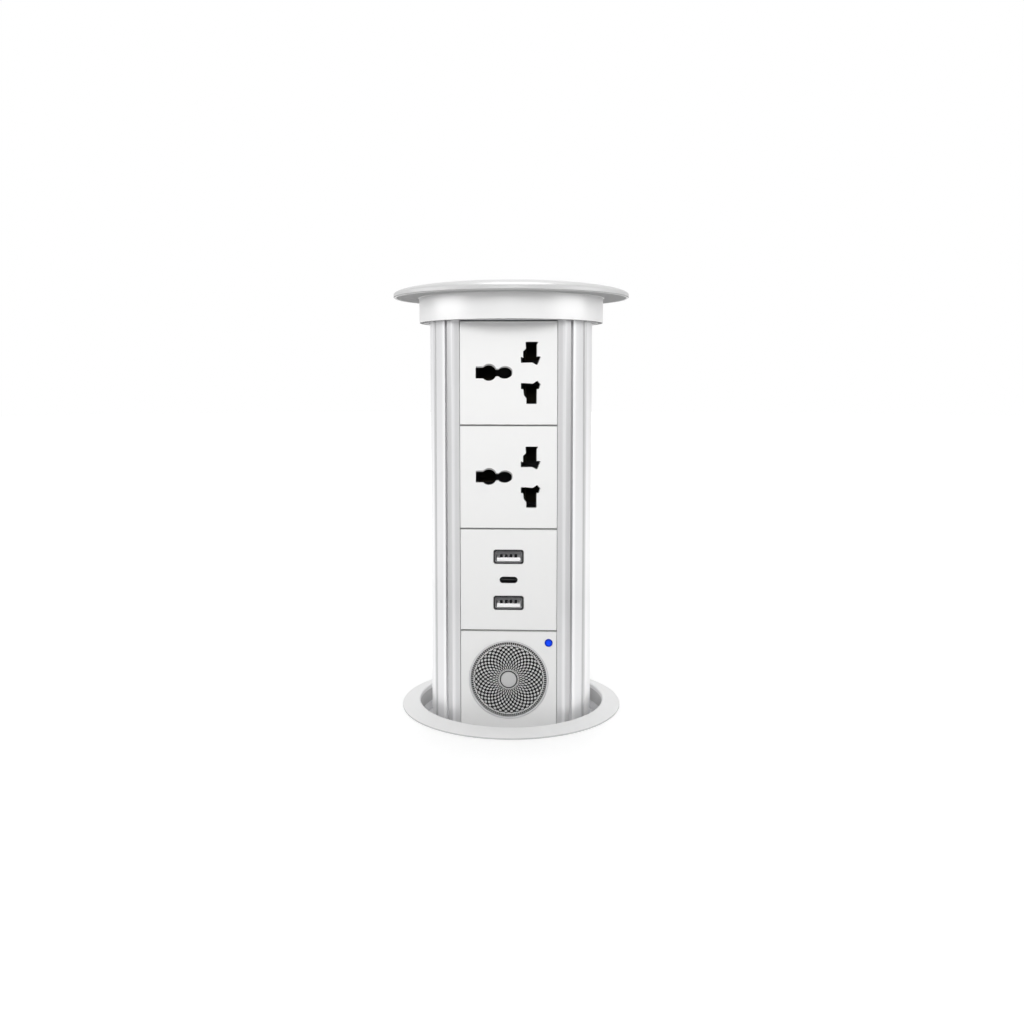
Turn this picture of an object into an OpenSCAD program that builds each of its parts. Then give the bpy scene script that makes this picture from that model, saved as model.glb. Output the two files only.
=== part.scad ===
// Pop up desk socket: a round aluminium tower that is pulled up by its lid through a sleeve in the desk.
// Origin on the tower's axis at the desk's top surface, +Z up, sockets facing -Y, shown raised.

/* [Column] */
// Outside diameter of the extruded column
column_d = 81.6; // [81:0.2:92]
// Distance from the tower's axis to its flat front
front_y = 30.5; // [29.5:0.1:31.5]
// Wall of the column
column_wall = 2.2; // [1.8:0.1:3]
// How far the lowest panel reaches below the desk's top, when raised
panel_sink = 5; // [2:0.5:8]
// Length of column that stays below the desk, when raised
tail_l = 54; // [48:1:66]
// Width of the two dark grooves beside the flat front
groove_w = 1.2; // [0.8:0.1:1.6]
// Depth of those grooves
groove_depth = 1.6; // [1:0.1:1.8]
// Angle of the grooves from the middle of the front
groove_angle = 47.6; // [46.5:0.1:50]
// Depth of the shallow flutes on the round sides
flute_depth = 0.4; // [0.2:0.1:0.6]

/* [Panels] */
// Width of the panels between the column's lips
panel_w = 47; // [46:0.2:48]
// Height of each panel, from seam to seam
panel_h = 50; // [48:0.5:54]
// Width of the seam between panels
seam = 0.4; // [0.2:0.1:0.8]
// Thickness of the lips that hold the panels
lip_t = 1.8; // [1.4:0.1:2.2]
// Thickness of the tongue on which each panel slides
tongue_t = 1.5; // [1.2:0.1:1.8]
// How far each tongue reaches behind a lip
tongue_reach = 1.8; // [1.4:0.1:2]
// Thickness of the rib behind the tongues
rib_t = 1.8; // [1.4:0.1:2.4]

/* [Socket openings] */
// Distance of the live and neutral row from the middle of the panel
pin_row_x = 10.8; // [10:0.1:11.5]
// Width of the live and neutral slots
slot_w = 5.1; // [4.8:0.1:5.4]
// Outer end of the live and neutral slots, from the socket's middle
slot_outer = 14.7; // [14.4:0.1:15.2]
// Inner end of the live and neutral slots, from the socket's middle
slot_inner = 5; // [4.6:0.1:5.4]
// Width of the cross slot at the inner end
cross_w = 8.7; // [8:0.1:9.2]
// Height of the cross slot at the inner end
cross_h = 2.9; // [2.4:0.1:3.2]
// Diameter of the round pin's hole beside each slot
round_pin_d = 5.2; // [4.8:0.1:5.4]
// Outer end of the earth slot, from the socket's middle
earth_outer = 15.8; // [15.4:0.1:16.2]
// Height of the earth slot
earth_h = 5.2; // [4.8:0.1:5.4]
// Diameter of the large earth hole
earth_hole_d = 7.4; // [7:0.1:7.8]
// Distance of the large earth hole from the socket's middle
earth_hole_x = 9.6; // [9.4:0.1:10]
// Diameter of the small earth hole
earth_small_d = 6; // [5.4:0.1:6.4]
// Distance of the small earth hole from the socket's middle
earth_small_x = 1.7; // [1.4:0.1:2]

/* [Socket insides] */
// Depth of a socket housing behind its panel
housing_depth = 21; // [20:0.5:23]
// Thickness of the covers on the backs of the housings
cover_t = 2; // [1.5:0.1:3]
// Thickness of the busbars
bus_t = 1; // [0.8:0.1:1.2]
// Width of each busbar strip
bus_w = 3; // [2.4:0.1:3.2]
// Thickness of the contact leaves
leaf_t = 0.6; // [0.4:0.1:0.8]
// Diameter of the inner wires
wire_d = 2.4; // [1.6:0.1:2.6]

/* [Charging panel] */
// Distance of each large port from the middle of the panel
port_offset = 11.3; // [10.5:0.1:12.5]
// Width of a large port's flared rim
port_rim_w = 14.6; // [14:0.1:15]
// Height of a large port's flared rim
port_rim_h = 6.9; // [6.6:0.1:7.2]
// Width of a large port's mouth
port_w = 12.5; // [12.3:0.1:12.8]
// Height of a large port's mouth
port_h = 5.1; // [5:0.1:5.3]
// Width of the small port's shell
small_port_w = 8.9; // [8.6:0.1:9.2]
// Height of the small port's shell
small_port_h = 3.2; // [3:0.1:3.4]
// Sheet thickness of the port shells
shell_t = 0.35; // [0.3:0.05:0.4]
// Depth from the panel's back to the charging board
port_depth = 14; // [12.5:0.5:15]
// Thickness of the circuit boards
board_t = 1.6; // [1.2:0.1:2]

/* [Speaker panel] */
// Outside diameter of the speaker's trim ring
trim_d = 38.8; // [37:0.2:39.6]
// Width of the trim ring
trim_w = 1.2; // [1:0.1:1.6]
// Height of the grille's centre above the panel's middle
grille_rise = 0.5; // [0:0.1:1]
// Diameter of the plain middle of the grille
grille_cap_d = 8.9; // [8:0.1:10]
// Openings in each ring of the grille
grille_count = 36; // [24:2:40]
// Rings of openings in the grille
grille_rings = 6; // [4:1:8]
// Diameter of the status lens
lens_d = 3.9; // [3:0.1:4.2]
// Distance of the lens from the panel's side edge
lens_inset = 4; // [3.8:0.1:4.4]
// Distance of the lens below the panel's upper edge
lens_drop = 5.9; // [5:0.1:6.4]

/* [Lid] */
// How far the lid overhangs the flange
lid_overhang = 3; // [1:0.1:5]
// Height of the lid's straight rim
rim_t = 1.7; // [1:0.1:2.5]
// Height of the lid's dome above its rim
dome_h = 6.1; // [4.5:0.1:8]
// Height of the collar below the lid
collar_h = 12.2; // [11:0.1:16]
// Wall of the collar
collar_wall = 2.5; // [1.8:0.1:3]
// Thickness of the collar's inner lip
collar_lip_t = 2.5; // [2:0.1:3.5]
// Thickness of the plate on top of the column
top_plate_t = 3.5; // [3:0.1:4.5]

/* [Flange and sleeve] */
// Room between the column and the sleeve, for the guide
guide_gap = 6.2; // [5.5:0.1:8]
// Wall of the sleeve above its thread
sleeve_wall = 2.5; // [2.3:0.1:4]
// Length of the sleeve below the desk's top
sleeve_l = 72; // [66:1:90]
// How far the flange reaches past the sleeve
flange_reach = 6.5; // [6:0.1:12]
// Height of the flange at its hole
flange_h = 3; // [2.6:0.1:4]
// Thickness of the flange at its outer edge
flange_edge = 0.8; // [0.6:0.1:1.2]
// Gap between the collar and the flange's hole
collar_gap = 0.8; // [0.5:0.1:1.5]
// Length of smooth sleeve that fills the desk's cut-out
smooth_l = 11; // [8:0.5:12]
// Pitch of the sleeve's thread
thread_pitch = 4; // [3:0.5:5]
// Depth of the sleeve's thread
thread_depth = 0.9; // [0.6:0.1:1]

/* [Clamp below the desk] */
// Thickness of the desk that is clamped
desk_t = 25; // [25:1:40]
// Thickness of the clamp washer
washer_t = 2; // [1.5:0.1:3]
// Height of the lock nut
nut_h = 14; // [10:0.5:18]
// Wall of the lock nut
nut_wall = 8.6; // [7:0.1:12]
// Number of finger scallops round the lock nut
nut_scallops = 12; // [8:1:16]

/* [Bottom and cable gland] */
// Thickness of the plate under the column
bottom_plate_t = 5; // [4:0.5:8]
// Thickness of the rubber ring that meets the guide
bumper_t = 1.3; // [1:0.1:2]
// Diameter of the cable that the gland takes
cable_d = 9; // [6:0.5:10]
// Wall of the gland's body
gland_wall = 4; // [3:0.1:5]
// Height of the gland's cap
gland_cap_h = 13; // [11:0.5:18]

/* [Hidden] */
$fn = 96;
// Smallest offset that makes a cut run past a face
past = 0.5;

// Named clearances
slide_clear = 0.3;
panel_play = 0.2;
tongue_play = 0.15;
seat_play = 0.1;
panel_inset = 0.1;
face_relief = 0.8;
rest_gap = 0.2;
bus_play = 0.3;

// Levels and radii of the column
column_r = column_d / 2;
cavity_r = column_r - column_wall;
stack_top = 4 * panel_h - panel_sink;
lid_z = stack_top + collar_h;
column_top = lid_z - collar_lip_t - top_plate_t;
column_bottom = -tail_l;
flute_angles = [70, 110];
flute_r = 3;

// Depths of the panels, from the front
face_y = -(front_y - panel_inset);
lip_back = -(front_y - lip_t);
tongue_front = lip_back + tongue_play;
panel_back = tongue_front + tongue_t;
slot_back = panel_back + tongue_play;
cavity_front = slot_back + rib_t;
rib_inset = 0.6;
rib_half = panel_w / 2 - rib_inset;
insert_inset = 1.5;
insert_half = panel_w / 2 - insert_inset;
upper_level = stack_top - panel_h / 2;
lower_level = upper_level - panel_h;
charge_level = lower_level - panel_h;
speaker_level = charge_level - panel_h;
stack_bottom = speaker_level - panel_h / 2;

// Screws: self-tapping into ports in the column's wall
port_bore_r = 1.7;
screw_r = 1.6;
screw_hole_r = 1.9;
screw_head_r = 3.2;
screw_head_h = 2;
screw_grip = 9;
screw_recess = 0.9;
port_boss_r = 3.6;
port_boss_sink = 0.4;
port_radius = cavity_r + port_boss_sink - port_boss_r;
port_angles = [-10, 50, 130, 190];
lid_screw_radius = 30;
lid_screw_angles = [90, 210, 330];
lid_boss_r = 4.5;
lid_screw_bite = 3;

// Lid, flange and sleeve radii
hole_r = column_r + guide_gap;
collar_r = hole_r - collar_gap;
collar_inner_r = collar_r - collar_wall;
collar_lip_w = 5.5;
collar_lip_r = collar_inner_r - collar_lip_w;
lid_edge = 0.5;
top_plate_r = collar_inner_r - slide_clear;
sleeve_r = hole_r + sleeve_wall;
flange_r = sleeve_r + flange_reach;
lid_r = flange_r + lid_overhang;
spigot_t = 1;
spigot_l = 6;
flange_lip = 0.6;
crest_drop = 0.2;
crest_r = sleeve_r - crest_drop;
root_r = crest_r - thread_depth;
gasket_t = 0.6;
gasket_in = 0.8;
gasket_w = 3;

// Guide inside the sleeve
travel = lid_z - flange_h - rest_gap;
wiper_t = 2;
wiper_gap = 1.4;
wiper_top = stack_top - travel - wiper_gap;
guide_top = wiper_top - wiper_t;
guide_bottom = column_bottom + bumper_t + rest_gap;
guide_mid = (guide_top + guide_bottom) / 2;
guide_r = hole_r - seat_play;
spring_w = 10;
spring_half = 9;
spring_bend = 7;
spring_flat = 2;
spring_t = 0.6;
spring_pocket = 3;
spring_room = 1;
spring_angles = [0, 90, 180];
set_screw_r = 2;
set_screw_l = 5;
set_screw_drop = 7;
set_screw_z = guide_top - set_screw_drop;
set_screw_key_r = 1.1;
set_screw_key_l = 1.6;
set_screw_angles = [45, 135, 270];

// Clamp
washer_top = -desk_t;
nut_top = washer_top - washer_t - rest_gap;
nut_bore_r = sleeve_r + slide_clear;
nut_r = nut_bore_r + nut_wall;
scallop_r = 7;
scallop_depth = 3;

// Socket insides
housing_margin = 1.5;
housing_h = panel_h - 2 * housing_margin;
housing_back = panel_back + housing_depth;
pocket_play = 1;
bus_cover = 1.2;
bus_back = housing_back - bus_cover;
bus_front = bus_back - bus_t;
leaf_setback = 7;
leaf_front = panel_back + leaf_setback;
leaf_play = 0.2;
leaf_half = slot_w / 2 + leaf_play;
earth_leaf_half = earth_h / 2 + leaf_play;
leaf_outer = leaf_half + leaf_t;
contact_inset = 1.4;
contact_from = slot_inner + contact_inset;
contact_to = slot_outer - leaf_play;
earth_leaf_from = -earth_outer + 2 * leaf_play;
earth_leaf_past = 2;
earth_leaf_to = -earth_hole_x + earth_leaf_past;
strip_gap = 1.2;
strip_end = 4;
live_x = pin_row_x + leaf_outer + strip_gap + bus_w / 2;
neutral_x = pin_row_x - leaf_outer - strip_gap - bus_w / 2;
earth_strip_shift = 1;
earth_x = -(earth_outer + earth_hole_x) / 2 + earth_strip_shift;
cross_shift = 0.2;
round_pin_shift = 0.6;
round_pin_drop = 0.4;
earth_neck_h = 2.3;
wire_y = (bus_front + bus_back) / 2;
bus_bottom = lower_level - panel_h / 2;

// Charging panel insides
charge_board_y = panel_back + port_depth;
port_shell_w = port_w + 2 * shell_t;
port_shell_h = port_h + 2 * shell_t;
port_rim_t = 0.5;
port_tongue_w = 11.6;
port_tongue_h = 1.9;
port_tongue_drop = 2.3;
port_tongue_setback = 1.2;
port_tongue_front = face_y + port_tongue_setback;
port_end = 1;
port_contact_w = 1.1;
port_contact_h = 0.5;
port_contact_pitch = 2.35;
port_contact_setback = 0.6;
small_tongue_w = 6.7;
small_tongue_h = 0.7;
small_tongue_setback = 1;
board_play = 0.4;
board_half_w = insert_half - board_play;
board_margin = 2.5;
board_half_h = panel_h / 2 - board_margin;
board_post_r = 2;
board_post_inset = 0.6;
board_post_x = insert_half - board_post_r - board_post_inset;
board_post_z = board_half_h - board_post_r - board_post_inset;
transformer_h = 17;
transformer_d = 13;
transformer_gap = 1;
capacitor_r = 3.6;
capacitor_l = 12;
capacitor_gap = 4;

// Speaker, as radius and depth behind the panel
trim_r = trim_d / 2;
grille_z = speaker_level + grille_rise;
trim_t = 0.9;
grille_t = 0.7;
grille_seat = face_y + trim_t + grille_t - panel_inset;
grille_open_r = trim_r - trim_w;
grille_plain = 1;
grille_border = 1.6;
grille_cap_sink = 0.3;
speaker_step = 0.2;
speaker_hole_r = grille_open_r - speaker_step;
speaker_r = trim_r;
basket_t = 1.5;
magnet_r = 12.5;
magnet_h = 6;
basket_depth = 10.5;
coil_r = 5;
coil_t = 0.7;
coil_gap = 0.4;
coil_dip = 1.5;
cone_t = 1;
cone_dish = 5.2;
basket_lap = 0.3;
basket_rim = 1.4;
basket_foot = 2.5;
basket_foot_inset = 1;
basket_foot_r = magnet_r - basket_foot_inset;
surround_w = 3.6;
surround_roll = 0.7;
surround_slope = 0.4;
sound_board_depth = 9;
sound_board_y = panel_back + sound_board_depth;
sound_board_gap = 1;
lens_x = panel_w / 2 - lens_inset;
lens_z = speaker_level + panel_h / 2 - lens_drop;
lens_flange = 0.8;
lens_flange_t = 1;
led_r = 1.5;
led_l = 5;
lead_t = 0.6;
lead_gap = 1.2;
sound_post_r = 1.8;
sound_post_inset = 0.1;
sound_post_x = insert_half - sound_post_r - sound_post_inset;
sound_post_rise = 1.7;
sound_post_z = board_half_h - sound_post_r - sound_post_rise;

// Bottom and gland
bottom_plate_gap = 1.5;
bottom_plate_r = hole_r - bottom_plate_gap;
bumper_inset = 0.4;
gland_y = 14;
cable_play = 0.5;
gland_bore_r = cable_d / 2 + cable_play;
gland_r = gland_bore_r + gland_wall;
gland_hex_w = 4;
gland_hex_r = gland_r + gland_hex_w;
gland_hex_h = 5;
gland_lock_h = 4;
gland_stub = 0.5;
gland_seal_t = 1.6;
gland_top = column_bottom + gland_lock_h;
gland_hex_top = column_bottom - bottom_plate_t;
gland_cap_top = gland_hex_top - gland_hex_h;
gland_cap_bottom = gland_cap_top - gland_cap_h;
gland_end_rise = 4;
gland_end = gland_cap_bottom + gland_end_rise;
gland_taper_low = 0.5;
gland_taper_high = 2.5;
terminal_margin = 4;
terminal_w = live_x - earth_x + 2 * terminal_margin;
terminal_d = 12;
terminal_h = 24;
terminal_top = column_bottom + terminal_h;
terminal_hole_r = 2;
terminal_hole_l = 3;
terminal_hole_drop = 6;

// Shared shapes

// A box from its lowest to its highest corner
module span(low, high) {
    translate(low) cube(high - low);
}

// A flat shape drawn in X and Z, from depth y0 back to depth y1
module facing(y0, y1) {
    translate([0, y1, 0])
        rotate([90, 0, 0])
            linear_extrude(y1 - y0)
                children();
}

// A turned shape about the front-to-back axis, drawn as radius and depth behind y0
module turned_back(x, y0, z) {
    translate([x, y0, z])
        rotate([-90, 0, 0])
            rotate_extrude()
                children();
}

// An upright ring
module ring(outer_r, inner_r, low, high) {
    translate([0, 0, low])
        difference() {
            cylinder(r = outer_r, h = high - low);
            translate([0, 0, -past]) cylinder(r = inner_r, h = high - low + 2 * past);
        }
}

// The column's outline: a circle with a flat front, grown by extra
module column_outline(extra) {
    reach = column_r + extra;
    intersection() {
        circle(r = reach);
        translate([-2 * reach, -(front_y + extra)]) square([4 * reach, 4 * reach]);
    }
}

// The same outline with room for what stands a little proud of the panels
module sliding_outline() {
    column_outline(slide_clear);
    translate([-panel_w / 2, -(front_y + face_relief)]) square([panel_w, front_y]);
}

// Places children at each screw port of the column
module at_ports() {
    for (angle = port_angles)
        rotate(angle)
            translate([port_radius, 0])
                children();
}

// A flat rectangle about its centre
module plate_outline(w, h, x, z) {
    translate([x - w / 2, z - h / 2]) square([w, h]);
}

// A slot with round ends
module stadium(w, h, z) {
    translate([0, z]) {
        square([w - h, h], center = true);
        for (side = [-1, 1]) translate([side * (w - h) / 2, 0]) circle(d = h);
    }
}

// One panel: its face between the lips and its tongue behind them
module panel(low, high) {
    face_half = panel_w / 2 - panel_play;
    tongue_half = panel_w / 2 + tongue_reach;
    span([-face_half, face_y, low + seam / 2], [face_half, tongue_front, high - seam / 2]);
    span([-tongue_half, tongue_front, low + seam / 2], [tongue_half, panel_back, high - seam / 2]);
}

// Fixed pieces in the desk

module flange_ring() {
    color([0.87, 0.87, 0.87])
        difference() {
            rotate_extrude()
                polygon([
                    [hole_r, -spigot_l],
                    [hole_r + spigot_t, -spigot_l],
                    [hole_r + spigot_t, 0],
                    [flange_r, 0],
                    [flange_r, flange_edge],
                    [hole_r + 2 * flange_lip, flange_h - flange_lip / 4],
                    [hole_r + flange_lip, flange_h],
                    [hole_r, flange_h - flange_lip]
                ]);
            ring(
                sleeve_r + gasket_in + gasket_w,
                sleeve_r + gasket_in,
                -past,
                gasket_t
            );
        }
}

module flange_gasket() {
    color([0.25, 0.25, 0.26])
        ring(sleeve_r + gasket_in + gasket_w, sleeve_r + gasket_in, 0, gasket_t);
}

module threaded_sleeve() {
    ribs = floor((sleeve_l - smooth_l - thread_pitch) / thread_pitch);
    thread = [
        for (i = [0 : ribs - 1], step = [0 : 3])
            [
                step == 0 || step == 3 ? root_r : crest_r,
                -smooth_l - thread_pitch * (i + 0.3 + 0.2 * step)
            ]
    ];
    color([0.62, 0.62, 0.63])
        difference() {
            rotate_extrude()
                polygon(concat(
                    [
                        [hole_r, -sleeve_l],
                        [hole_r, -spigot_l - seat_play],
                        [hole_r + spigot_t + seat_play, -spigot_l - seat_play],
                        [hole_r + spigot_t + seat_play, 0],
                        [sleeve_r, 0],
                        [sleeve_r, -smooth_l],
                        [root_r, -smooth_l]
                    ],
                    thread,
                    [[root_r, -sleeve_l]]
                ));
            for (angle = set_screw_angles)
                rotate(angle)
                    translate([guide_r - set_screw_l, 0, set_screw_z])
                        rotate([0, 90, 0])
                            cylinder(r = set_screw_r + seat_play, h = 3 * set_screw_l);
        }
}

module guide_ring() {
    color([0.3, 0.31, 0.32])
        difference() {
            translate([0, 0, guide_bottom])
                linear_extrude(guide_top - guide_bottom)
                    difference() {
                        circle(r = guide_r);
                        sliding_outline();
                    }
            for (angle = spring_angles)
                rotate(angle)
                    span(
                        [
                            column_r - past,
                            -spring_w / 2 - spring_room,
                            guide_mid - spring_half - spring_room
                        ],
                        [
                            column_r + spring_pocket,
                            spring_w / 2 + spring_room,
                            guide_mid + spring_half + spring_room
                        ]
                    );
            for (angle = set_screw_angles)
                rotate(angle)
                    translate([guide_r - set_screw_l + past, 0, set_screw_z])
                        rotate([0, 90, 0])
                            cylinder(r = set_screw_r + seat_play, h = 2 * set_screw_l);
        }
}

module guide_screws() {
    color([0.5, 0.5, 0.52])
        for (angle = set_screw_angles)
            rotate(angle)
                translate([root_r - seat_play - set_screw_l, 0, set_screw_z])
                    rotate([0, 90, 0])
                        difference() {
                            cylinder(r = set_screw_r, h = set_screw_l);
                            translate([0, 0, set_screw_l - set_screw_key_l])
                                cylinder(r = set_screw_key_r, h = set_screw_key_l + past, $fn = 6);
                        }
}

// Bowed strips that rub on the column and hold the tower at any height
module friction_springs() {
    near = column_r + slide_clear + seat_play;
    far = column_r + spring_pocket - spring_t;
    bow = [
        [far, -spring_half],
        [far, -spring_bend],
        [near, -spring_flat],
        [near, spring_flat],
        [far, spring_bend],
        [far, spring_half]
    ];
    back = [for (i = [len(bow) - 1 : -1 : 0]) [bow[i][0] + spring_t, bow[i][1]]];
    color([0.72, 0.72, 0.74])
        for (angle = spring_angles)
            rotate(angle)
                translate([0, spring_w / 2, guide_mid])
                    rotate([90, 0, 0])
                        linear_extrude(spring_w)
                            polygon(concat(bow, back));
}

module wiper_ring() {
    color([0.2, 0.2, 0.21])
        translate([0, 0, guide_top])
            linear_extrude(wiper_t)
                difference() {
                    circle(r = guide_r);
                    sliding_outline();
                }
}

// Clamp below the desk

module clamp_washer() {
    color([0.75, 0.75, 0.77])
        ring(nut_r, nut_bore_r, washer_top - washer_t, washer_top);
}

module lock_nut() {
    color([0.35, 0.35, 0.36])
        difference() {
            ring(nut_r, nut_bore_r, nut_top - nut_h, nut_top);
            for (i = [0 : nut_scallops - 1])
                rotate(360 / nut_scallops * i)
                    translate([nut_r + scallop_r - scallop_depth, 0, nut_top - nut_h - past])
                        cylinder(r = scallop_r, h = nut_h + 2 * past);
        }
}

// Lid

module cap_disc() {
    steps = 14;
    dome = [
        for (i = [0 : steps])
            [lid_r * cos(90 * i / steps), lid_z + rim_t + dome_h * sin(90 * i / steps)]
    ];
    boss_low = lid_z - collar_lip_t;
    color([0.93, 0.93, 0.93])
        difference() {
            union() {
                rotate_extrude()
                    polygon(concat(
                        [[0, lid_z], [lid_r - lid_edge, lid_z], [lid_r, lid_z + lid_edge]],
                        dome
                    ));
                for (angle = lid_screw_angles)
                    rotate(angle)
                        translate([lid_screw_radius, 0, boss_low])
                            cylinder(r = lid_boss_r, h = collar_lip_t + past);
            }
            for (angle = lid_screw_angles)
                rotate(angle)
                    translate([lid_screw_radius, 0, boss_low - past])
                        cylinder(r = port_bore_r, h = collar_lip_t + lid_screw_bite + 2 * past);
        }
}

module cap_collar() {
    color([0.9, 0.9, 0.9]) {
        ring(collar_r, collar_inner_r, stack_top, lid_z);
        ring(collar_inner_r + past, collar_lip_r, lid_z - collar_lip_t, lid_z);
    }
}

module top_plate() {
    spacer_half = panel_w / 2 - panel_play;
    color([0.55, 0.56, 0.58])
        difference() {
            union() {
                translate([0, 0, column_top]) cylinder(r = top_plate_r, h = top_plate_t);
                span(
                    [-spacer_half, face_y, stack_top + seam / 2],
                    [spacer_half, tongue_front, column_top + past]
                );
            }
            at_ports() {
                translate([0, 0, column_top - past]) cylinder(r = screw_hole_r, h = top_plate_t + 2 * past);
                translate([0, 0, column_top + top_plate_t - screw_head_h - seat_play])
                    cylinder(r = screw_head_r + seat_play, h = screw_head_h + past);
            }
            for (angle = lid_screw_angles)
                rotate(angle)
                    translate([lid_screw_radius, 0, column_top - past])
                        cylinder(r = screw_hole_r, h = top_plate_t + 2 * past);
        }
}

// A pan head screw standing on its tip, with a cross recess
module screw(shank_l) {
    difference() {
        union() {
            cylinder(r = screw_r, h = shank_l + seat_play);
            translate([0, 0, shank_l]) cylinder(r = screw_head_r, h = screw_head_h);
        }
        for (turn = [0, 90])
            rotate(turn)
                translate([
                    -screw_head_r * 0.6,
                    -screw_recess / 2,
                    shank_l + screw_head_h - screw_recess
                ])
                    cube([screw_head_r * 1.2, screw_recess, 2 * screw_recess]);
    }
}

module lid_screws() {
    shank_l = top_plate_t + collar_lip_t + lid_screw_bite;
    color([0.6, 0.6, 0.62])
        for (angle = lid_screw_angles)
            rotate(angle)
                translate([lid_screw_radius, 0, column_top + shank_l])
                    mirror([0, 0, 1])
                        screw(shank_l);
}

module column_screws() {
    shank_l = screw_grip + top_plate_t - screw_head_h - seat_play;
    color([0.6, 0.6, 0.62])
        at_ports()
            translate([0, 0, column_top - screw_grip])
                screw(shank_l);
}

// Column

module column_extrusion() {
    slot_half = panel_w / 2 + tongue_reach + tongue_play;
    color([0.8, 0.8, 0.81])
        translate([0, 0, column_bottom])
            linear_extrude(column_top - column_bottom)
                difference() {
                    union() {
                        difference() {
                            column_outline(0);
                            intersection() {
                                circle(r = cavity_r);
                                translate([-column_r, cavity_front]) square([column_d, column_d]);
                            }
                        }
                        at_ports() circle(r = port_boss_r);
                    }
                    at_ports() circle(r = port_bore_r);
                    translate([-panel_w / 2, -front_y - past])
                        square([panel_w, lip_t + 2 * past]);
                    translate([-slot_half, lip_back])
                        square([2 * slot_half, slot_back - lip_back]);
                    translate([-rib_half, slot_back - past])
                        square([2 * rib_half, rib_t + 2 * past]);
                    for (side = [-1, 1], turn = [groove_angle, 180 - groove_angle])
                        rotate(side * turn)
                            translate([-groove_w / 2, -column_r - past])
                                square([groove_w, groove_depth + past]);
                    for (side = [-1, 1], turn = flute_angles)
                        rotate(side * turn)
                            translate([0, -column_r - flute_r + flute_depth])
                                circle(r = flute_r);
                }
}

// Sockets

// Live or neutral opening: a flat pin's slot with a round pin's hole and a cross slot
module pin_opening() {
    plate_outline(slot_w, slot_outer - slot_inner, pin_row_x, (slot_outer + slot_inner) / 2);
    plate_outline(cross_w, cross_h, pin_row_x - cross_shift, slot_inner + cross_h / 2);
    translate([pin_row_x - round_pin_shift, (slot_outer + slot_inner) / 2 - round_pin_drop])
        circle(d = round_pin_d);
}

// Earth opening: a flat slot and two round holes joined by a neck
module earth_opening() {
    translate([-earth_outer, -earth_h / 2]) square([earth_outer - earth_hole_x, earth_h]);
    translate([-earth_hole_x, 0]) circle(d = earth_hole_d);
    translate([-earth_hole_x, -earth_neck_h / 2])
        square([earth_hole_x - earth_small_x, earth_neck_h]);
    translate([-earth_small_x, 0]) circle(d = earth_small_d);
}

module socket_plate(level) {
    color([0.93, 0.93, 0.92])
        difference() {
            panel(level - panel_h / 2, level + panel_h / 2);
            facing(face_y - past, panel_back + past)
                translate([0, level]) {
                    pin_opening();
                    mirror([0, 1]) pin_opening();
                    earth_opening();
                }
        }
}

module socket_plate_upper() {
    socket_plate(upper_level);
}

module socket_plate_lower() {
    socket_plate(lower_level);
}

// Housing with a pocket for each contact and open trenches for the busbars behind
module socket_housing(level) {
    pocket_half = leaf_outer + bus_play;
    earth_pocket_half = max(earth_leaf_half + leaf_t + bus_play, earth_hole_d / 2);
    earth_pocket_from = -earth_outer - pocket_play;
    earth_pocket_to = -earth_small_x + earth_small_d / 2 + pocket_play;
    trench = bus_front - bus_play;
    low = level - housing_h / 2 - past;
    high = level + housing_h / 2 + past;
    color([0.1, 0.1, 0.1])
        difference() {
            span(
                [-insert_half, panel_back, level - housing_h / 2],
                [insert_half, housing_back, level + housing_h / 2]
            );
            for (side = [-1, 1])
                facing(panel_back - past, trench + past)
                    plate_outline(
                        2 * max(pocket_half, cross_w / 2 + bus_play),
                        slot_outer - slot_inner + 2 * pocket_play,
                        pin_row_x,
                        level + side * (slot_outer + slot_inner) / 2
                    );
            facing(panel_back - past, trench + past)
                plate_outline(
                    earth_pocket_to - earth_pocket_from,
                    2 * earth_pocket_half,
                    (earth_pocket_to + earth_pocket_from) / 2,
                    level
                );
            span(
                [neutral_x - bus_w / 2 - bus_play, trench, low],
                [live_x + bus_w / 2 + bus_play, housing_back + past, high]
            );
            span(
                [-earth_outer - bus_play, trench, low],
                [max(earth_x + bus_w / 2, earth_leaf_to) + bus_play, housing_back + past, high]
            );
        }
}

module socket_housing_upper() {
    socket_housing(upper_level);
}

module socket_housing_lower() {
    socket_housing(lower_level);
}

module housing_covers() {
    color([0.75, 0.75, 0.73])
        for (level = [upper_level, lower_level])
            span(
                [-insert_half, housing_back, level - housing_h / 2],
                [insert_half, housing_back + cover_t, level + housing_h / 2]
            );
}

// A busbar for a flat pin: one strip with a pair of upright leaves in each socket
module pin_busbar(strip_x, side) {
    color([0.78, 0.62, 0.3]) {
        span(
            [strip_x - bus_w / 2, bus_front, bus_bottom],
            [strip_x + bus_w / 2, bus_back, upper_level + side * contact_from + strip_end]
        );
        for (level = [upper_level, lower_level]) {
            low = level + (side > 0 ? contact_from : -contact_to);
            high = level + (side > 0 ? contact_to : -contact_from);
            span(
                [min(strip_x, pin_row_x - leaf_outer), bus_front, low],
                [max(strip_x, pin_row_x + leaf_outer), bus_back, high]
            );
            for (edge = [pin_row_x - leaf_outer, pin_row_x + leaf_half])
                span([edge, leaf_front, low], [edge + leaf_t, bus_front + bus_t / 2, high]);
        }
    }
}

module live_busbar() {
    pin_busbar(live_x, 1);
}

module neutral_busbar() {
    pin_busbar(neutral_x, -1);
}

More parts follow.
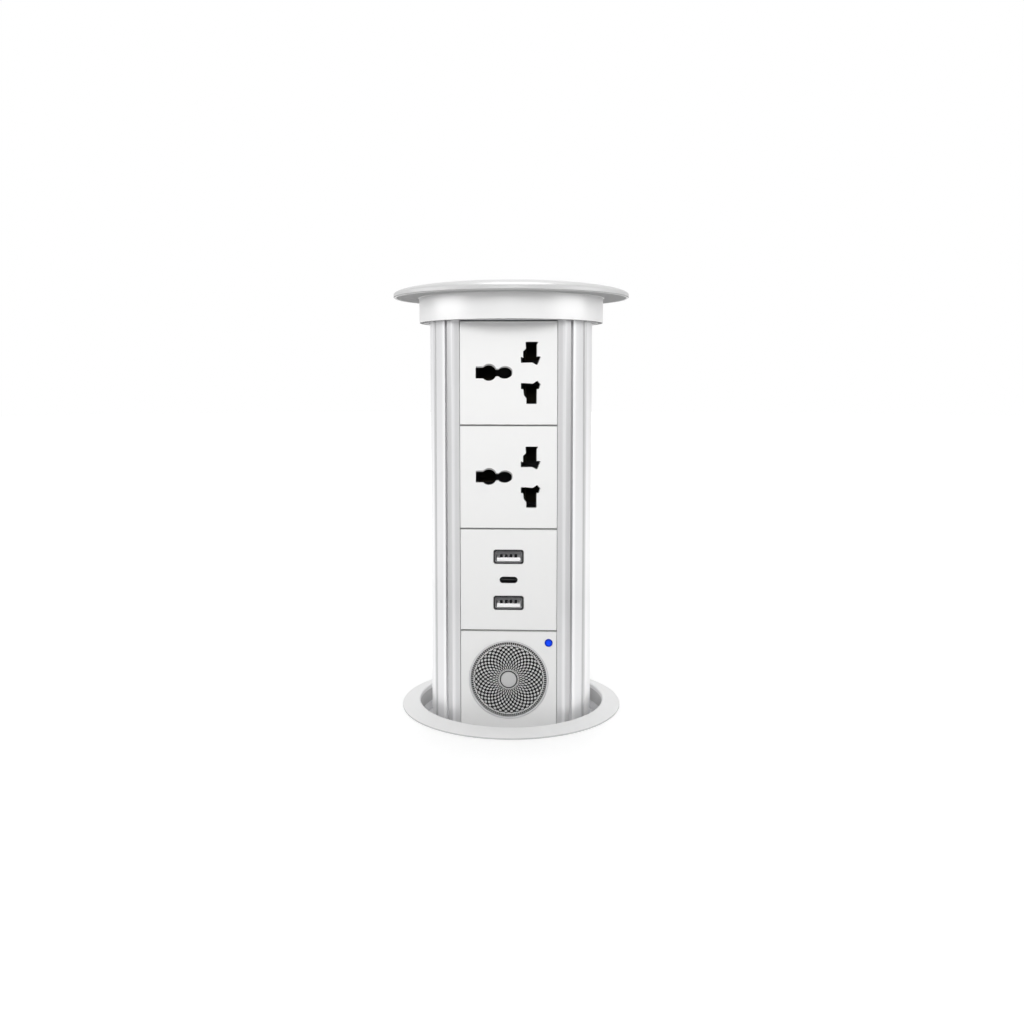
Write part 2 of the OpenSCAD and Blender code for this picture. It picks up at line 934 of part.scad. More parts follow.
module earth_busbar() {
    color([0.78, 0.62, 0.3]) {
        span(
            [earth_x - bus_w / 2, bus_front, bus_bottom],
            [earth_x + bus_w / 2, bus_back, upper_level + earth_leaf_half]
        );
        for (level = [upper_level, lower_level]) {
            span(
                [earth_leaf_from, bus_front, level - earth_leaf_half - leaf_t],
                [earth_leaf_to, bus_back, level + earth_leaf_half + leaf_t]
            );
            for (edge = [-earth_leaf_half - leaf_t, earth_leaf_half])
                span(
                    [earth_leaf_from, leaf_front, level + edge],
                    [earth_leaf_to, bus_front + bus_t / 2, level + edge + leaf_t]
                );
        }
    }
}

// Charging panel

module usb_plate() {
    color([0.92, 0.92, 0.91])
        difference() {
            union() {
                panel(charge_level - panel_h / 2, charge_level + panel_h / 2);
                for (x = [-1, 1], z = [-1, 1])
                    translate([x * board_post_x, panel_back - past, charge_level + z * board_post_z])
                        rotate([-90, 0, 0])
                            cylinder(r = board_post_r, h = port_depth + past);
            }
            facing(face_y - past, panel_back + past) {
                for (side = [-1, 1])
                    plate_outline(
                        port_rim_w + panel_play,
                        port_rim_h + panel_play,
                        0,
                        charge_level + side * port_offset
                    );
                stadium(small_port_w + panel_play, small_port_h + panel_play, charge_level);
            }
        }
}

module usb_a_shell(level) {
    color([0.42, 0.42, 0.44])
        difference() {
            union() {
                facing(face_y, face_y + port_rim_t)
                    plate_outline(port_rim_w, port_rim_h, 0, level);
                facing(face_y, charge_board_y)
                    plate_outline(port_shell_w, port_shell_h, 0, level);
            }
            facing(face_y - past, charge_board_y - port_end)
                plate_outline(port_w, port_h, 0, level);
        }
}

module usb_a_shell_upper() {
    usb_a_shell(charge_level + port_offset);
}

module usb_a_shell_lower() {
    usb_a_shell(charge_level - port_offset);
}

module usb_a_tongues() {
    color([0.95, 0.95, 0.95])
        for (side = [-1, 1])
            facing(port_tongue_front, charge_board_y - port_end)
                plate_outline(
                    port_tongue_w,
                    port_tongue_h,
                    0,
                    charge_level + side * port_offset - port_tongue_drop + port_tongue_h / 2
                );
}

module usb_a_contacts() {
    color([0.3, 0.3, 0.3])
        for (side = [-1, 1], i = [-1.5 : 1 : 1.5])
            facing(port_tongue_front + port_contact_setback, charge_board_y - port_end)
                plate_outline(
                    port_contact_w,
                    port_contact_h,
                    i * port_contact_pitch,
                    charge_level + side * port_offset - port_tongue_drop + port_tongue_h
                        + port_contact_h / 2
                );
}

module usb_c_shell() {
    color([0.25, 0.25, 0.26])
        difference() {
            facing(face_y, charge_board_y)
                stadium(small_port_w, small_port_h, charge_level);
            facing(face_y - past, charge_board_y - port_end)
                stadium(small_port_w - 2 * shell_t, small_port_h - 2 * shell_t, charge_level);
        }
}

module usb_c_tongue() {
    color([0.15, 0.15, 0.16])
        facing(face_y + small_tongue_setback, charge_board_y - port_end)
            plate_outline(small_tongue_w, small_tongue_h, 0, charge_level);
}

module usb_board() {
    color([0.1, 0.35, 0.2])
        facing(charge_board_y, charge_board_y + board_t)
            plate_outline(2 * board_half_w, 2 * board_half_h, 0, charge_level);
}

module power_transformer() {
    middle = (earth_x + neutral_x) / 2;
    half = (neutral_x - earth_x - wire_d) / 2 - transformer_gap;
    back = charge_board_y + board_t;
    color([0.75, 0.65, 0.2])
        span(
            [middle - half, back, charge_level - transformer_h / 2],
            [middle + half, back + transformer_d, charge_level + transformer_h / 2]
        );
}

module capacitors() {
    between = (live_x + neutral_x) / 2;
    back = charge_board_y + board_t;
    color([0.15, 0.18, 0.3])
        for (side = [-1, 1])
            translate([between, back, charge_level + side * (capacitor_r + capacitor_gap / 2)])
                rotate([-90, 0, 0])
                    cylinder(r = capacitor_r, h = capacitor_l);
}

// Speaker panel

module speaker_plate() {
    color([0.9, 0.9, 0.89])
        difference() {
            union() {
                panel(speaker_level - panel_h / 2, speaker_level + panel_h / 2);
                for (spot = [[-1, 1], [-1, -1], [1, -1]])
                    translate([
                        spot[0] * sound_post_x,
                        panel_back - past,
                        speaker_level + spot[1] * sound_post_z
                    ])
                        rotate([-90, 0, 0])
                            cylinder(r = sound_post_r, h = sound_board_y - panel_back + past);
            }
            translate([0, face_y - past, grille_z])
                rotate([-90, 0, 0]) {
                    cylinder(r = speaker_hole_r, h = panel_back - face_y + 2 * past);
                    cylinder(r = trim_r + seat_play, h = grille_seat - face_y + past);
                }
            translate([lens_x, face_y - past, lens_z])
                rotate([-90, 0, 0])
                    cylinder(d = lens_d + seat_play, h = panel_back - face_y + 2 * past);
        }
}

module grille_ring() {
    color([0.9, 0.9, 0.9])
        turned_back(0, face_y - panel_inset, grille_z)
            translate([grille_open_r, 0]) square([trim_w, trim_t]);
}

// Sheet with rings of diamond openings that alternate from ring to ring
module speaker_grille() {
    inner = grille_cap_d / 2 + grille_plain;
    outer = grille_open_r - grille_border;
    half_turn = 180 / grille_count;
    color([0.78, 0.78, 0.78]) {
        translate([0, 0, grille_z])
            facing(grille_seat - grille_t, grille_seat)
                difference() {
                    circle(r = trim_r);
                    for (i = [0 : grille_rings - 1], k = [0 : grille_count - 1]) {
                        grow = pow(outer / inner, 1 / grille_rings);
                        low = inner * pow(grow, i) * 1.04;
                        high = inner * pow(grow, i + 1) * 0.97;
                        middle = (low + high) / 2;
                        reach = middle * sin(half_turn) * 0.72;
                        rotate((2 * k + i % 2) * half_turn)
                            polygon([[low, 0], [middle, reach], [high, 0], [middle, -reach]]);
                    }
                }
        translate([0, grille_seat - grille_t, grille_z])
            rotate([90, 0, 0])
                cylinder(d = grille_cap_d, h = trim_t - grille_cap_sink);
    }
}

module speaker_basket() {
    color([0.3, 0.3, 0.32])
        turned_back(0, panel_back, grille_z)
            polygon([
                [speaker_hole_r - speaker_step, 0],
                [speaker_r, 0],
                [speaker_r, basket_t],
                [basket_foot_r, basket_depth - basket_t / 2],
                [basket_foot_r, basket_depth],
                [basket_foot_r - basket_foot, basket_depth],
                [basket_foot_r - basket_foot, basket_depth - basket_t],
                [speaker_hole_r - basket_rim, basket_t + cone_t],
                [speaker_hole_r - basket_rim, basket_t - basket_lap],
                [speaker_hole_r - speaker_step, basket_t - basket_lap]
            ]);
}

module speaker_surround() {
    color([0.12, 0.12, 0.12])
        turned_back(0, panel_back, grille_z)
            polygon([
                [speaker_hole_r - surround_w, basket_t - basket_lap],
                [speaker_hole_r - surround_w + surround_slope, basket_t - basket_lap - surround_roll],
                [speaker_hole_r - surround_w / 2, basket_t - basket_lap - surround_roll],
                [speaker_hole_r - basket_lap, basket_t - basket_lap - surround_slope],
                [speaker_hole_r - basket_lap, basket_t - basket_lap]
            ]);
}

module speaker_cone() {
    dish = basket_t + cone_dish;
    color([0.18, 0.18, 0.19])
        turned_back(0, panel_back, grille_z) {
            polygon([
                [0, dish - 1.2 * cone_t],
                [coil_r, dish - cone_t],
                [speaker_hole_r - surround_w, basket_t - basket_lap],
                [speaker_hole_r - surround_w + 1.2 * cone_t, basket_t - basket_lap],
                [coil_r, dish],
                [0, dish]
            ]);
            translate([coil_r - coil_t, dish - cone_t / 2])
                square([coil_t, basket_depth + coil_dip - dish]);
        }
}

module speaker_magnet() {
    color([0.35, 0.35, 0.36])
        turned_back(0, panel_back + basket_depth, grille_z)
            difference() {
                square([magnet_r, magnet_h]);
                translate([coil_r - coil_t - coil_gap, -past])
                    square([coil_t + 2 * coil_gap, magnet_h / 2 + past]);
            }
}

// Control board with a hole round the speaker's magnet
module sound_board() {
    color([0.1, 0.3, 0.35])
        facing(sound_board_y, sound_board_y + board_t)
            difference() {
                plate_outline(2 * board_half_w, 2 * board_half_h, 0, speaker_level);
                translate([0, grille_z]) circle(r = magnet_r + sound_board_gap);
            }
}

module status_lens() {
    color([0.1, 0.3, 1])
        translate([lens_x, face_y - panel_inset, lens_z])
            rotate([-90, 0, 0]) {
                cylinder(d = lens_d, h = panel_back - face_y + panel_inset);
                translate([0, 0, panel_back - face_y + panel_inset])
                    cylinder(d = lens_d + lens_flange, h = lens_flange_t);
            }
}

module status_led() {
    front = panel_back + lens_flange_t;
    color([0.8, 0.85, 0.95]) {
        translate([lens_x, front, lens_z])
            rotate([-90, 0, 0])
                cylinder(r = led_r, h = led_l);
        for (side = [-1, 1])
            span(
                [lens_x + side * lead_gap / 2 - lead_t / 2, front + led_l - past, lens_z - lead_t / 2],
                [lens_x + side * lead_gap / 2 + lead_t / 2, sound_board_y, lens_z + lead_t / 2]
            );
    }
}

// Bottom of the tower

module lower_plate() {
    color([0.9, 0.9, 0.89])
        panel(column_bottom - seam / 2, stack_bottom);
}

module bottom_plate() {
    color([0.3, 0.31, 0.32])
        translate([0, 0, column_bottom - bottom_plate_t])
            difference() {
                cylinder(r = bottom_plate_r, h = bottom_plate_t);
                translate([0, gland_y, -past])
                    cylinder(r = gland_r + seat_play, h = bottom_plate_t + 2 * past);
                at_ports() {
                    translate([0, 0, -past]) cylinder(r = screw_hole_r, h = bottom_plate_t + 2 * past);
                    translate([0, 0, -past])
                        cylinder(r = screw_head_r + seat_play, h = screw_head_h + seat_play + past);
                }
            }
}

module bottom_screws() {
    shank_l = screw_grip + bottom_plate_t - screw_head_h - seat_play;
    color([0.6, 0.6, 0.62])
        at_ports()
            translate([0, 0, column_bottom + screw_grip])
                mirror([0, 0, 1])
                    screw(shank_l);
}

module stop_bumper() {
    color([0.12, 0.12, 0.12])
        ring(
            bottom_plate_r - bumper_inset,
            column_r + slide_clear,
            column_bottom,
            column_bottom + bumper_t
        );
}

module terminal_block() {
    middle = (live_x + earth_x) / 2;
    color([0.88, 0.88, 0.85])
        difference() {
            span(
                [middle - terminal_w / 2, wire_y - terminal_d / 2, column_bottom],
                [middle + terminal_w / 2, wire_y + terminal_d / 2, terminal_top]
            );
            for (x = [live_x, neutral_x, earth_x])
                translate([x, wire_y - terminal_d / 2 - past, terminal_top - terminal_hole_drop])
                    rotate([-90, 0, 0])
                        cylinder(r = terminal_hole_r, h = terminal_hole_l);
        }
}

// One insulated wire from a busbar down to the terminal block
module inner_wire(x, shade) {
    color(shade)
        translate([x, wire_y, terminal_top])
            cylinder(d = wire_d, h = bus_bottom - terminal_top);
}

module live_wire() {
    inner_wire(live_x, [0.5, 0.28, 0.12]);
}

module neutral_wire() {
    inner_wire(neutral_x, [0.15, 0.3, 0.75]);
}

module earth_wire() {
    inner_wire(earth_x, [0.2, 0.55, 0.2]);
}

module gland_body() {
    color([0.2, 0.2, 0.21])
        translate([0, gland_y, 0])
            difference() {
                union() {
                    translate([0, 0, gland_end]) cylinder(r = gland_r, h = gland_top - gland_end);
                    translate([0, 0, gland_cap_top]) cylinder(r = gland_hex_r, h = gland_hex_h, $fn = 6);
                }
                translate([0, 0, gland_end - past])
                    cylinder(r = gland_bore_r, h = gland_top - gland_end + 2 * past);
            }
}

module gland_locknut() {
    color([0.25, 0.25, 0.26])
        translate([0, gland_y, column_bottom])
            difference() {
                cylinder(r = gland_hex_r, h = gland_lock_h - gland_stub, $fn = 6);
                translate([0, 0, -past]) cylinder(r = gland_r + seat_play, h = gland_lock_h + 2 * past);
            }
}

module gland_seal() {
    color([0.08, 0.08, 0.08])
        translate([0, gland_y, 0])
            ring(gland_r, gland_bore_r + seat_play, gland_end - gland_seal_t, gland_end);
}

module gland_nut() {
    end_t = gland_end - gland_seal_t - gland_cap_bottom;
    color([0.22, 0.22, 0.23])
        translate([0, gland_y, gland_cap_bottom])
            difference() {
                union() {
                    translate([0, 0, end_t]) cylinder(r = gland_hex_r, h = gland_cap_h - end_t, $fn = 6);
                    cylinder(r1 = gland_r - gland_taper_low, r2 = gland_r + gland_taper_high, h = end_t);
                }
                translate([0, 0, -past]) cylinder(r = gland_bore_r + 2 * seat_play, h = end_t + 2 * past);
                translate([0, 0, end_t]) cylinder(r = gland_r + seat_play, h = gland_cap_h);
            }
}

flange_ring();
threaded_sleeve();
flange_gasket();
guide_ring();
guide_screws();
friction_springs();
wiper_ring();
clamp_washer();
lock_nut();
cap_disc();
cap_collar();
top_plate();
lid_screws();
column_screws();
column_extrusion();
socket_plate_upper();
socket_plate_lower();
socket_housing_upper();
socket_housing_lower();
housing_covers();
live_busbar();
neutral_busbar();
earth_busbar();
usb_plate();
usb_a_shell_upper();
usb_a_shell_lower();
usb_a_tongues();
usb_a_contacts();
usb_c_shell();
usb_c_tongue();
usb_board();
power_transformer();
capacitors();
speaker_plate();
grille_ring();
speaker_grille();
speaker_basket();
speaker_surround();
speaker_cone();
speaker_magnet();
sound_board();
status_lens();
status_led();
lower_plate();
bottom_plate();
bottom_screws();
stop_bumper();
terminal_block();
live_wire();
neutral_wire();
earth_wire();
gland_body();
gland_locknut();
gland_seal();
gland_nut();
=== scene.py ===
import math

import bmesh
import bpy
from mathutils import Matrix, Vector


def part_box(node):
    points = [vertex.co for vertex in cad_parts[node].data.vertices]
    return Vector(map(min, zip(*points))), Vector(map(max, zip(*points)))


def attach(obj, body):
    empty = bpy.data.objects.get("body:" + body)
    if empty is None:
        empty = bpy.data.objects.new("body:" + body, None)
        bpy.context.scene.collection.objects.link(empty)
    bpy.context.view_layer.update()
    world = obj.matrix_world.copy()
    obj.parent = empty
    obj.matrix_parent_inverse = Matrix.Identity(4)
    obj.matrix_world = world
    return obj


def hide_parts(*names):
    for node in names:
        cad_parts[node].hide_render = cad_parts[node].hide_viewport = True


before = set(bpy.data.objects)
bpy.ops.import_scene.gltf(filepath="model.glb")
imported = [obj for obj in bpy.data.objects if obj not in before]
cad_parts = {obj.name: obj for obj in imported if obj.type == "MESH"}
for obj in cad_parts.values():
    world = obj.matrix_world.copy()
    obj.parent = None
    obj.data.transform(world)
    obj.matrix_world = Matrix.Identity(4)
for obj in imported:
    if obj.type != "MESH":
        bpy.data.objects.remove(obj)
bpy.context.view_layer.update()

# Camera: it stands a little to the right of the front, at four fifths of the tower's height,
# and looks slightly down, as the photograph was taken.
CAMERA_TURN = math.radians(2.392)
CAMERA_DIP = math.radians(4.357)
CAMERA_REACH = 0.5078
CAMERA_HEIGHT = 0.1693
CAMERA_LENS = 35.06
CAMERA_SHIFT = (0.0008, -0.06)
bpy.ops.object.select_all(action="DESELECT")
bpy.ops.object.camera_add(
    location=(
        CAMERA_REACH * math.sin(CAMERA_TURN),
        -CAMERA_REACH * math.cos(CAMERA_TURN),
        CAMERA_HEIGHT,
    ),
    rotation=(math.pi / 2 - CAMERA_DIP, 0, CAMERA_TURN),
)
camera = bpy.context.object
camera.data.lens = CAMERA_LENS
camera.data.shift_x, camera.data.shift_y = CAMERA_SHIFT
bpy.context.scene.camera = camera
bpy.context.scene.view_settings.view_transform = "Standard"


# Studio light: softboxes at both sides, in front, above and behind, in an even white surround.
# The front and rear lamps stay out of the gloss, and the lid's lamp lights its gloss alone.
def softbox(name, glow, size, place, aim, spread=180):
    """An area lamp that looks at its aim. Its power follows its glow and its size in metres."""
    bpy.ops.object.light_add(type="AREA", location=place)
    lamp = bpy.context.object
    lamp.name = name
    lamp.data.shape = "RECTANGLE"
    lamp.data.size, lamp.data.size_y = size
    lamp.data.energy = glow * math.pi * size[0] * size[1]
    lamp.data.spread = math.radians(spread)
    lamp.rotation_euler = (Vector(aim) - Vector(place)).to_track_quat("-Z", "Y").to_euler()
    return lamp


for name, side in (("left_softbox", -1), ("right_softbox", 1)):
    softbox(name, glow=2.1, size=(0.6, 0.36), place=(0.7 * side, -0.15, 0.38), aim=(0, 0, 0.16))
front_softbox = softbox(
    "front_softbox", glow=1.1, size=(0.6, 0.35), place=(0, -1.1, 0.54), aim=(0, 0, 0.31), spread=50,
)
front_softbox.visible_glossy = False
softbox("top_softbox", glow=3.0, size=(0.2, 0.7), place=(0, 0.2, 0.9), aim=(0, 0, 0.2))
rear_softbox = softbox("rear_softbox", glow=2.0, size=(0.25, 0.4), place=(0, 0.75, 0.62), aim=(0, 0, 0.2))
rear_softbox.visible_glossy = False
lid_softbox = softbox("lid_softbox", glow=6.0, size=(0.22, 0.5), place=(0, 0.3, 0.95), aim=(0, 0, 0.21))
lid_softbox.visible_diffuse = False


def add_node(tree, kind, inputs=None, **settings):
    """Adds a shader node, sets it, and links or fills its inputs."""
    made = tree.nodes.new("ShaderNode" + kind)
    for name, value in settings.items():
        setattr(made, name, value)
    for name, value in (inputs or {}).items():
        if isinstance(value, bpy.types.NodeSocket):
            tree.links.new(value, made.inputs[name])
        else:
            made.inputs[name].default_value = value
    return made


def reckon(tree, operation, *terms):
    """The result of a Math node on its terms."""
    return add_node(tree, "Math", dict(enumerate(terms)), operation=operation).outputs[0]


def sees_surround(tree):
    """1 for the rays that show the white surround: camera, mirrored and through glass."""
    rays = add_node(tree, "LightPath").outputs
    mirrored = reckon(tree, "MAXIMUM", rays["Is Glossy Ray"], rays["Is Transmission Ray"])
    return reckon(tree, "MAXIMUM", rays["Is Camera Ray"], mirrored)


PLAIN_WHITE = (1, 1, 1, 1)
SURROUND_LIGHT = 0.46
SURROUND_SHOWN = 1.0
surround = bpy.data.worlds.new("surround")
bpy.context.scene.world = surround
surround.use_nodes = True
tree = surround.node_tree
tree.nodes.clear()
dim = add_node(tree, "Background", {"Color": PLAIN_WHITE, "Strength": SURROUND_LIGHT}).outputs[0]
bright = add_node(tree, "Background", {"Color": PLAIN_WHITE, "Strength": SURROUND_SHOWN}).outputs[0]
either = add_node(tree, "MixShader", {0: sees_surround(tree), 1: dim, 2: bright}).outputs[0]
add_node(tree, "OutputWorld", {"Surface": either})

# Desk top: a plain pale surface at the flange's underside, with the round cut-out that the
# sleeve passes through. It is the stage and not a part of the object.
MM = 0.001
CUT_OUT_R = 50 * MM
DESK_REACH = 4.0
DESK_SHADE = 0.68
DESK_GLOW_NEAR, DESK_GLOW_FAR = 0.42, 1.0
DESK_GLOW_START, DESK_GLOW_STOP = 0.055, 0.45


def face_outwards():
    """In edit mode, turns all faces to the outside."""
    bpy.ops.mesh.select_all(action="SELECT")
    bpy.ops.mesh.normals_make_consistent(inside=False)


def graded(tree, value, start, stop, first, last):
    """Goes from first to last as a value goes from start to stop, and holds beyond them."""
    return add_node(tree, "MapRange", {
        "Value": value, "From Min": start, "From Max": stop, "To Min": first, "To Max": last,
    }).outputs[0]


bpy.ops.object.select_all(action="DESELECT")
bpy.ops.mesh.primitive_circle_add(vertices=128, radius=CUT_OUT_R)
desk = bpy.context.object
desk.name = "desk_top"
bpy.ops.object.mode_set(mode="EDIT")
bpy.ops.mesh.select_all(action="SELECT")
bpy.ops.mesh.extrude_edges_move()
bpy.ops.transform.resize(value=(DESK_REACH / CUT_OUT_R,) * 3, center_override=(0, 0, 0))
face_outwards()
bpy.ops.object.mode_set(mode="OBJECT")
desk_finish = bpy.data.materials.new("desk_white")
desk_finish.use_nodes = True
tree = desk_finish.node_tree
tree.nodes.clear()
spot = add_node(tree, "TexCoord").outputs["Object"]
away = add_node(tree, "VectorMath", {0: spot}, operation="LENGTH").outputs["Value"]
lift = graded(tree, away, DESK_GLOW_START, DESK_GLOW_STOP, DESK_GLOW_NEAR, DESK_GLOW_FAR)
glow = reckon(tree, "MULTIPLY", lift, sees_surround(tree))
lit = add_node(tree, "BsdfDiffuse", {"Color": (DESK_SHADE, DESK_SHADE, DESK_SHADE, 1)}).outputs[0]
shown = add_node(tree, "Emission", {"Color": PLAIN_WHITE, "Strength": glow}).outputs[0]
both = add_node(tree, "AddShader", {0: lit, 1: shown}).outputs[0]
add_node(tree, "OutputMaterial", {"Surface": both})
desk.data.materials.append(desk_finish)

# Column: one aluminium extrusion, round with a flat front. Its outline has the lips that hold
# the panels, two grooves, shallow flutes on the round sides and the channel inside. Its colour carries
# painted shade and highlights in bands round it, and painted light at its foot. Sizes are
# in mm, and places round the column are angles from the front, in degrees.
COLUMN_LOW, COLUMN_HIGH = -54, 201.2
COLUMN_R = 40.8
CAVITY_R = 38.6
FRONT_Y = -30.5
LIP_X, LIP_OUT_X = 23.5, 27.1
LIP_BACK = -28.7
SLOT_X, SLOT_BACK = 25.45, -26.9
RAIL_X, RAIL_OUT_X, RAIL_BACK = 22.9, 29.33, -25.1
FRONT_GROOVE, REAR_GROOVE = 48.2, 131.8
GROOVE_W, GROOVE_DEPTH = 1.8, 1.6
FRONT_FLUTE, REAR_FLUTE = 64, 116
FLUTE_HALF, FLUTE_DEPTH = 2.03, 0.4
FLUTE_STEPS = 4
GROOVE_CLEAR, FLUTE_CLEAR = 2, 3
RAIL_ANGLE = 50.5
SHOULDER_ANGLE = 43.8
BACK_START, BACK_END = 134.2, 178
FOOT_H = 60
FOOT_PAINTED_LIGHT = 1.35
COOL_TINT = 1.005
MERGE_GAP = 1e-7
BROAD_GRAIN = 25
GRAIN_LIFT = 0.25
GRAIN_DEPTH = 0.2 * MM
# Angles from the front, each with the level of the metal's colour there: painted shade on the front lip, the
# grooves and the flutes, and painted highlights at the front edges and on the round sides.
COLUMN_PAINTED_LIGHT_BANDS = (
    (0, 0.66), (40, 0.66), (41.2, 0.84), (42.8, 0.6), (46.6, 0.54), (FRONT_GROOVE, 0.5), (49.9, 0.94),
    (51.5, 0.92), (53, 0.8), (61, 0.8), (63.2, 0.52), (65, 0.52), (68, 0.94), (78, 0.86), (90, 0.8),
    (102, 0.86), (112, 0.94), (115, 0.52), (117, 0.52), (119, 0.8), (130, 0.8), (REAR_GROOVE, 0.5),
    (133.6, 0.85), (180, 0.85),
)


def eased(corners, parts=4, closed=True):
    """Points of an outline whose corners (x, y, radius) are rounded to their radius."""
    points = []
    last = len(corners) - 1
    for i, (x, y, radius) in enumerate(corners):
        here = Vector((x, y))
        if radius == 0 or (not closed and i in (0, last)):
            points.append(here)
            continue
        before = (Vector(corners[i - 1][:2]) - here).normalized()
        after = (Vector(corners[(i + 1) % len(corners)][:2]) - here).normalized()
        half = before.angle(after) / 2
        centre = here + (before + after).normalized() * (radius / math.sin(half))
        spoke = here + before * (radius / math.tan(half)) - centre
        end = here + after * (radius / math.tan(half)) - centre
        sweep = math.copysign(math.pi - 2 * half, spoke.x * end.y - spoke.y * end.x)
        for step in range(parts + 1):
            points.append(centre + Matrix.Rotation(sweep * step / parts, 2) @ spoke)
    return points


def newest(name):
    """The piece that was just added, under its name."""
    piece = bpy.context.object
    piece.name = piece.data.name = name
    return piece


def pull(shift):
    """Extrudes what is selected by a shift in metres."""
    bpy.ops.mesh.extrude_region_move(TRANSFORM_OT_translate={"value": shift})


def draw_chain(name, points):
    """Draws edges through the points by extruding one vertex, and stays in edit mode."""
    bpy.ops.object.select_all(action="DESELECT")
    bpy.ops.mesh.primitive_plane_add(size=MM)
    piece = newest(name)
    bpy.ops.object.mode_set(mode="EDIT")
    bpy.ops.mesh.select_mode(type="VERT")
    bpy.ops.mesh.select_all(action="SELECT")
    bpy.ops.mesh.merge(type="CENTER")
    bpy.ops.transform.translate(value=points[0])
    for here, there in zip(points, points[1:]):
        pull(Vector(there) - Vector(here))
    return piece


def tidy_mesh():
    """Merges doubles, drops what is loose, turns the faces outwards and leaves edit mode."""
    bpy.ops.mesh.select_all(action="SELECT")
    bpy.ops.mesh.remove_doubles(threshold=MERGE_GAP)
    bpy.ops.mesh.delete_loose(use_verts=True, use_edges=True, use_faces=False)
    face_outwards()
    bpy.ops.object.mode_set(mode="OBJECT")


def pick(piece, *others):
    """Selects a piece, with others or alone, and makes it the active one."""
    bpy.ops.object.select_all(action="DESELECT")
    for other in others:
        other.select_set(True)
    piece.select_set(True)
    bpy.context.view_layer.objects.active = piece


def smooth(piece, angle=32):
    """Shades a piece smooth, apart from edges sharper than an angle in degrees."""
    pick(piece)
    bpy.ops.object.shade_smooth_by_angle(angle=math.radians(angle))


def fit(piece, finish, body, slot, *nodes):
    """Gives a finished piece its material and its body, and hides the CAD nodes that it stands for."""
    piece.data.materials.clear()
    piece.data.materials.append(finish)
    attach(piece, body)
    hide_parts(*nodes)


def surface(
    name, colour, roughness, metallic=0.0, specular=0.5, grain=900, stretch=(1, 1, 1), tone=0.04, relief=0.05,
    gloss=0.05,
):
    """A finish whose shade, gloss and relief follow a fine grain, sized in grains per metre."""
    finish = bpy.data.materials.new(name)
    finish.use_nodes = True
    tree = finish.node_tree
    shader = tree.nodes["Principled BSDF"]
    shader.inputs["Metallic"].default_value = metallic
    shader.inputs["Specular IOR Level"].default_value = specular
    place = add_node(tree, "TexCoord").outputs["Object"]
    place = add_node(tree, "Mapping", {"Vector": place, "Scale": stretch}).outputs[0]
    fine = add_node(tree, "TexNoise", {"Vector": place, "Scale": grain, "Detail": 4.0}).outputs["Fac"]
    broad = add_node(tree, "TexNoise", {"Vector": place, "Scale": grain / BROAD_GRAIN}).outputs["Fac"]
    blend = reckon(tree, "MULTIPLY_ADD", fine, broad, GRAIN_LIFT)
    dark = [c * (1 - tone) for c in colour]
    pale = [min(1, c * (1 + tone)) for c in colour]
    shade = add_node(tree, "MixRGB", {"Fac": blend, "Color1": (*dark, 1), "Color2": (*pale, 1)})
    tree.links.new(shade.outputs[0], shader.inputs["Base Color"])
    sheen = graded(tree, blend, 0, 1, roughness - gloss, roughness + gloss)
    tree.links.new(sheen, shader.inputs["Roughness"])
    bumps = add_node(tree, "Bump", {"Height": fine, "Strength": relief, "Distance": GRAIN_DEPTH})
    tree.links.new(bumps.outputs[0], shader.inputs["Normal"])
    return finish


def spot_on(tree):
    """The X, Y and Z of a point on its piece."""
    place = add_node(tree, "TexCoord").outputs["Object"]
    return add_node(tree, "SeparateXYZ", {0: place}).outputs


def shaded(finish, mask, shade):
    """Multiplies a finish's colour by a shade, a number or a socket, where the mask is 1: the script paints
    its light and shade with it.
    """
    tree = finish.node_tree
    base = tree.nodes["Principled BSDF"].inputs["Base Color"]
    if not isinstance(shade, bpy.types.NodeSocket):
        shade = (shade, shade, shade, 1)
    colours = {"Fac": mask, "Color1": base.links[0].from_socket, "Color2": shade}
    mixed = add_node(tree, "MixRGB", colours, blend_type="MULTIPLY", use_clamp=True)
    tree.links.new(mixed.outputs[0], base)


def round_column(angle, radius):
    """A point at an angle from the front and a radius from the axis, in mm."""
    turn = math.radians(angle)
    return radius * math.sin(turn), -radius * math.cos(turn)


def groove(angle):
    """Corners of a square groove at an angle from the front."""
    floor_r = COLUMN_R - GROOVE_DEPTH
    edge = math.degrees(GROOVE_W / 2 / COLUMN_R)
    floor_edge = math.degrees(GROOVE_W / 2 / floor_r)
    return [
        (*round_column(angle - edge, COLUMN_R), 0.2),
        (*round_column(angle - floor_edge, floor_r), 0.1),
        (*round_column(angle + floor_edge, floor_r), 0.1),
        (*round_column(angle + edge, COLUMN_R), 0.2),
    ]


def flute(angle):
    """Points of a shallow hollow at an angle from the front."""
    points = []
    for step in range(-FLUTE_STEPS, FLUTE_STEPS + 1):
        across = step / FLUTE_STEPS
        fall = FLUTE_DEPTH * (1 - across * across)
        points.append((*round_column(angle + FLUTE_HALF * across, COLUMN_R - fall), 0))
    return points


def bend(start, stop, radius, parts):
    """Points of an arc about the axis, between two angles from the front."""
    return [(*round_column(start + (stop - start) * i / parts, radius), 0) for i in range(parts + 1)]


def mirrored(right_half):
    """The left half of an outline, in order, from its right half."""
    return [(-x, y, ease) for x, y, ease in reversed(right_half)]


def drawn(name, outline, place, depth):
    """Draws a closed outline, fills it and extrudes it by a depth."""
    piece = draw_chain(name, [place(p) for p in outline])
    bpy.ops.mesh.select_all(action="SELECT")
    bpy.ops.mesh.edge_face_add()
    pull(depth)
    tidy_mesh()
    return piece


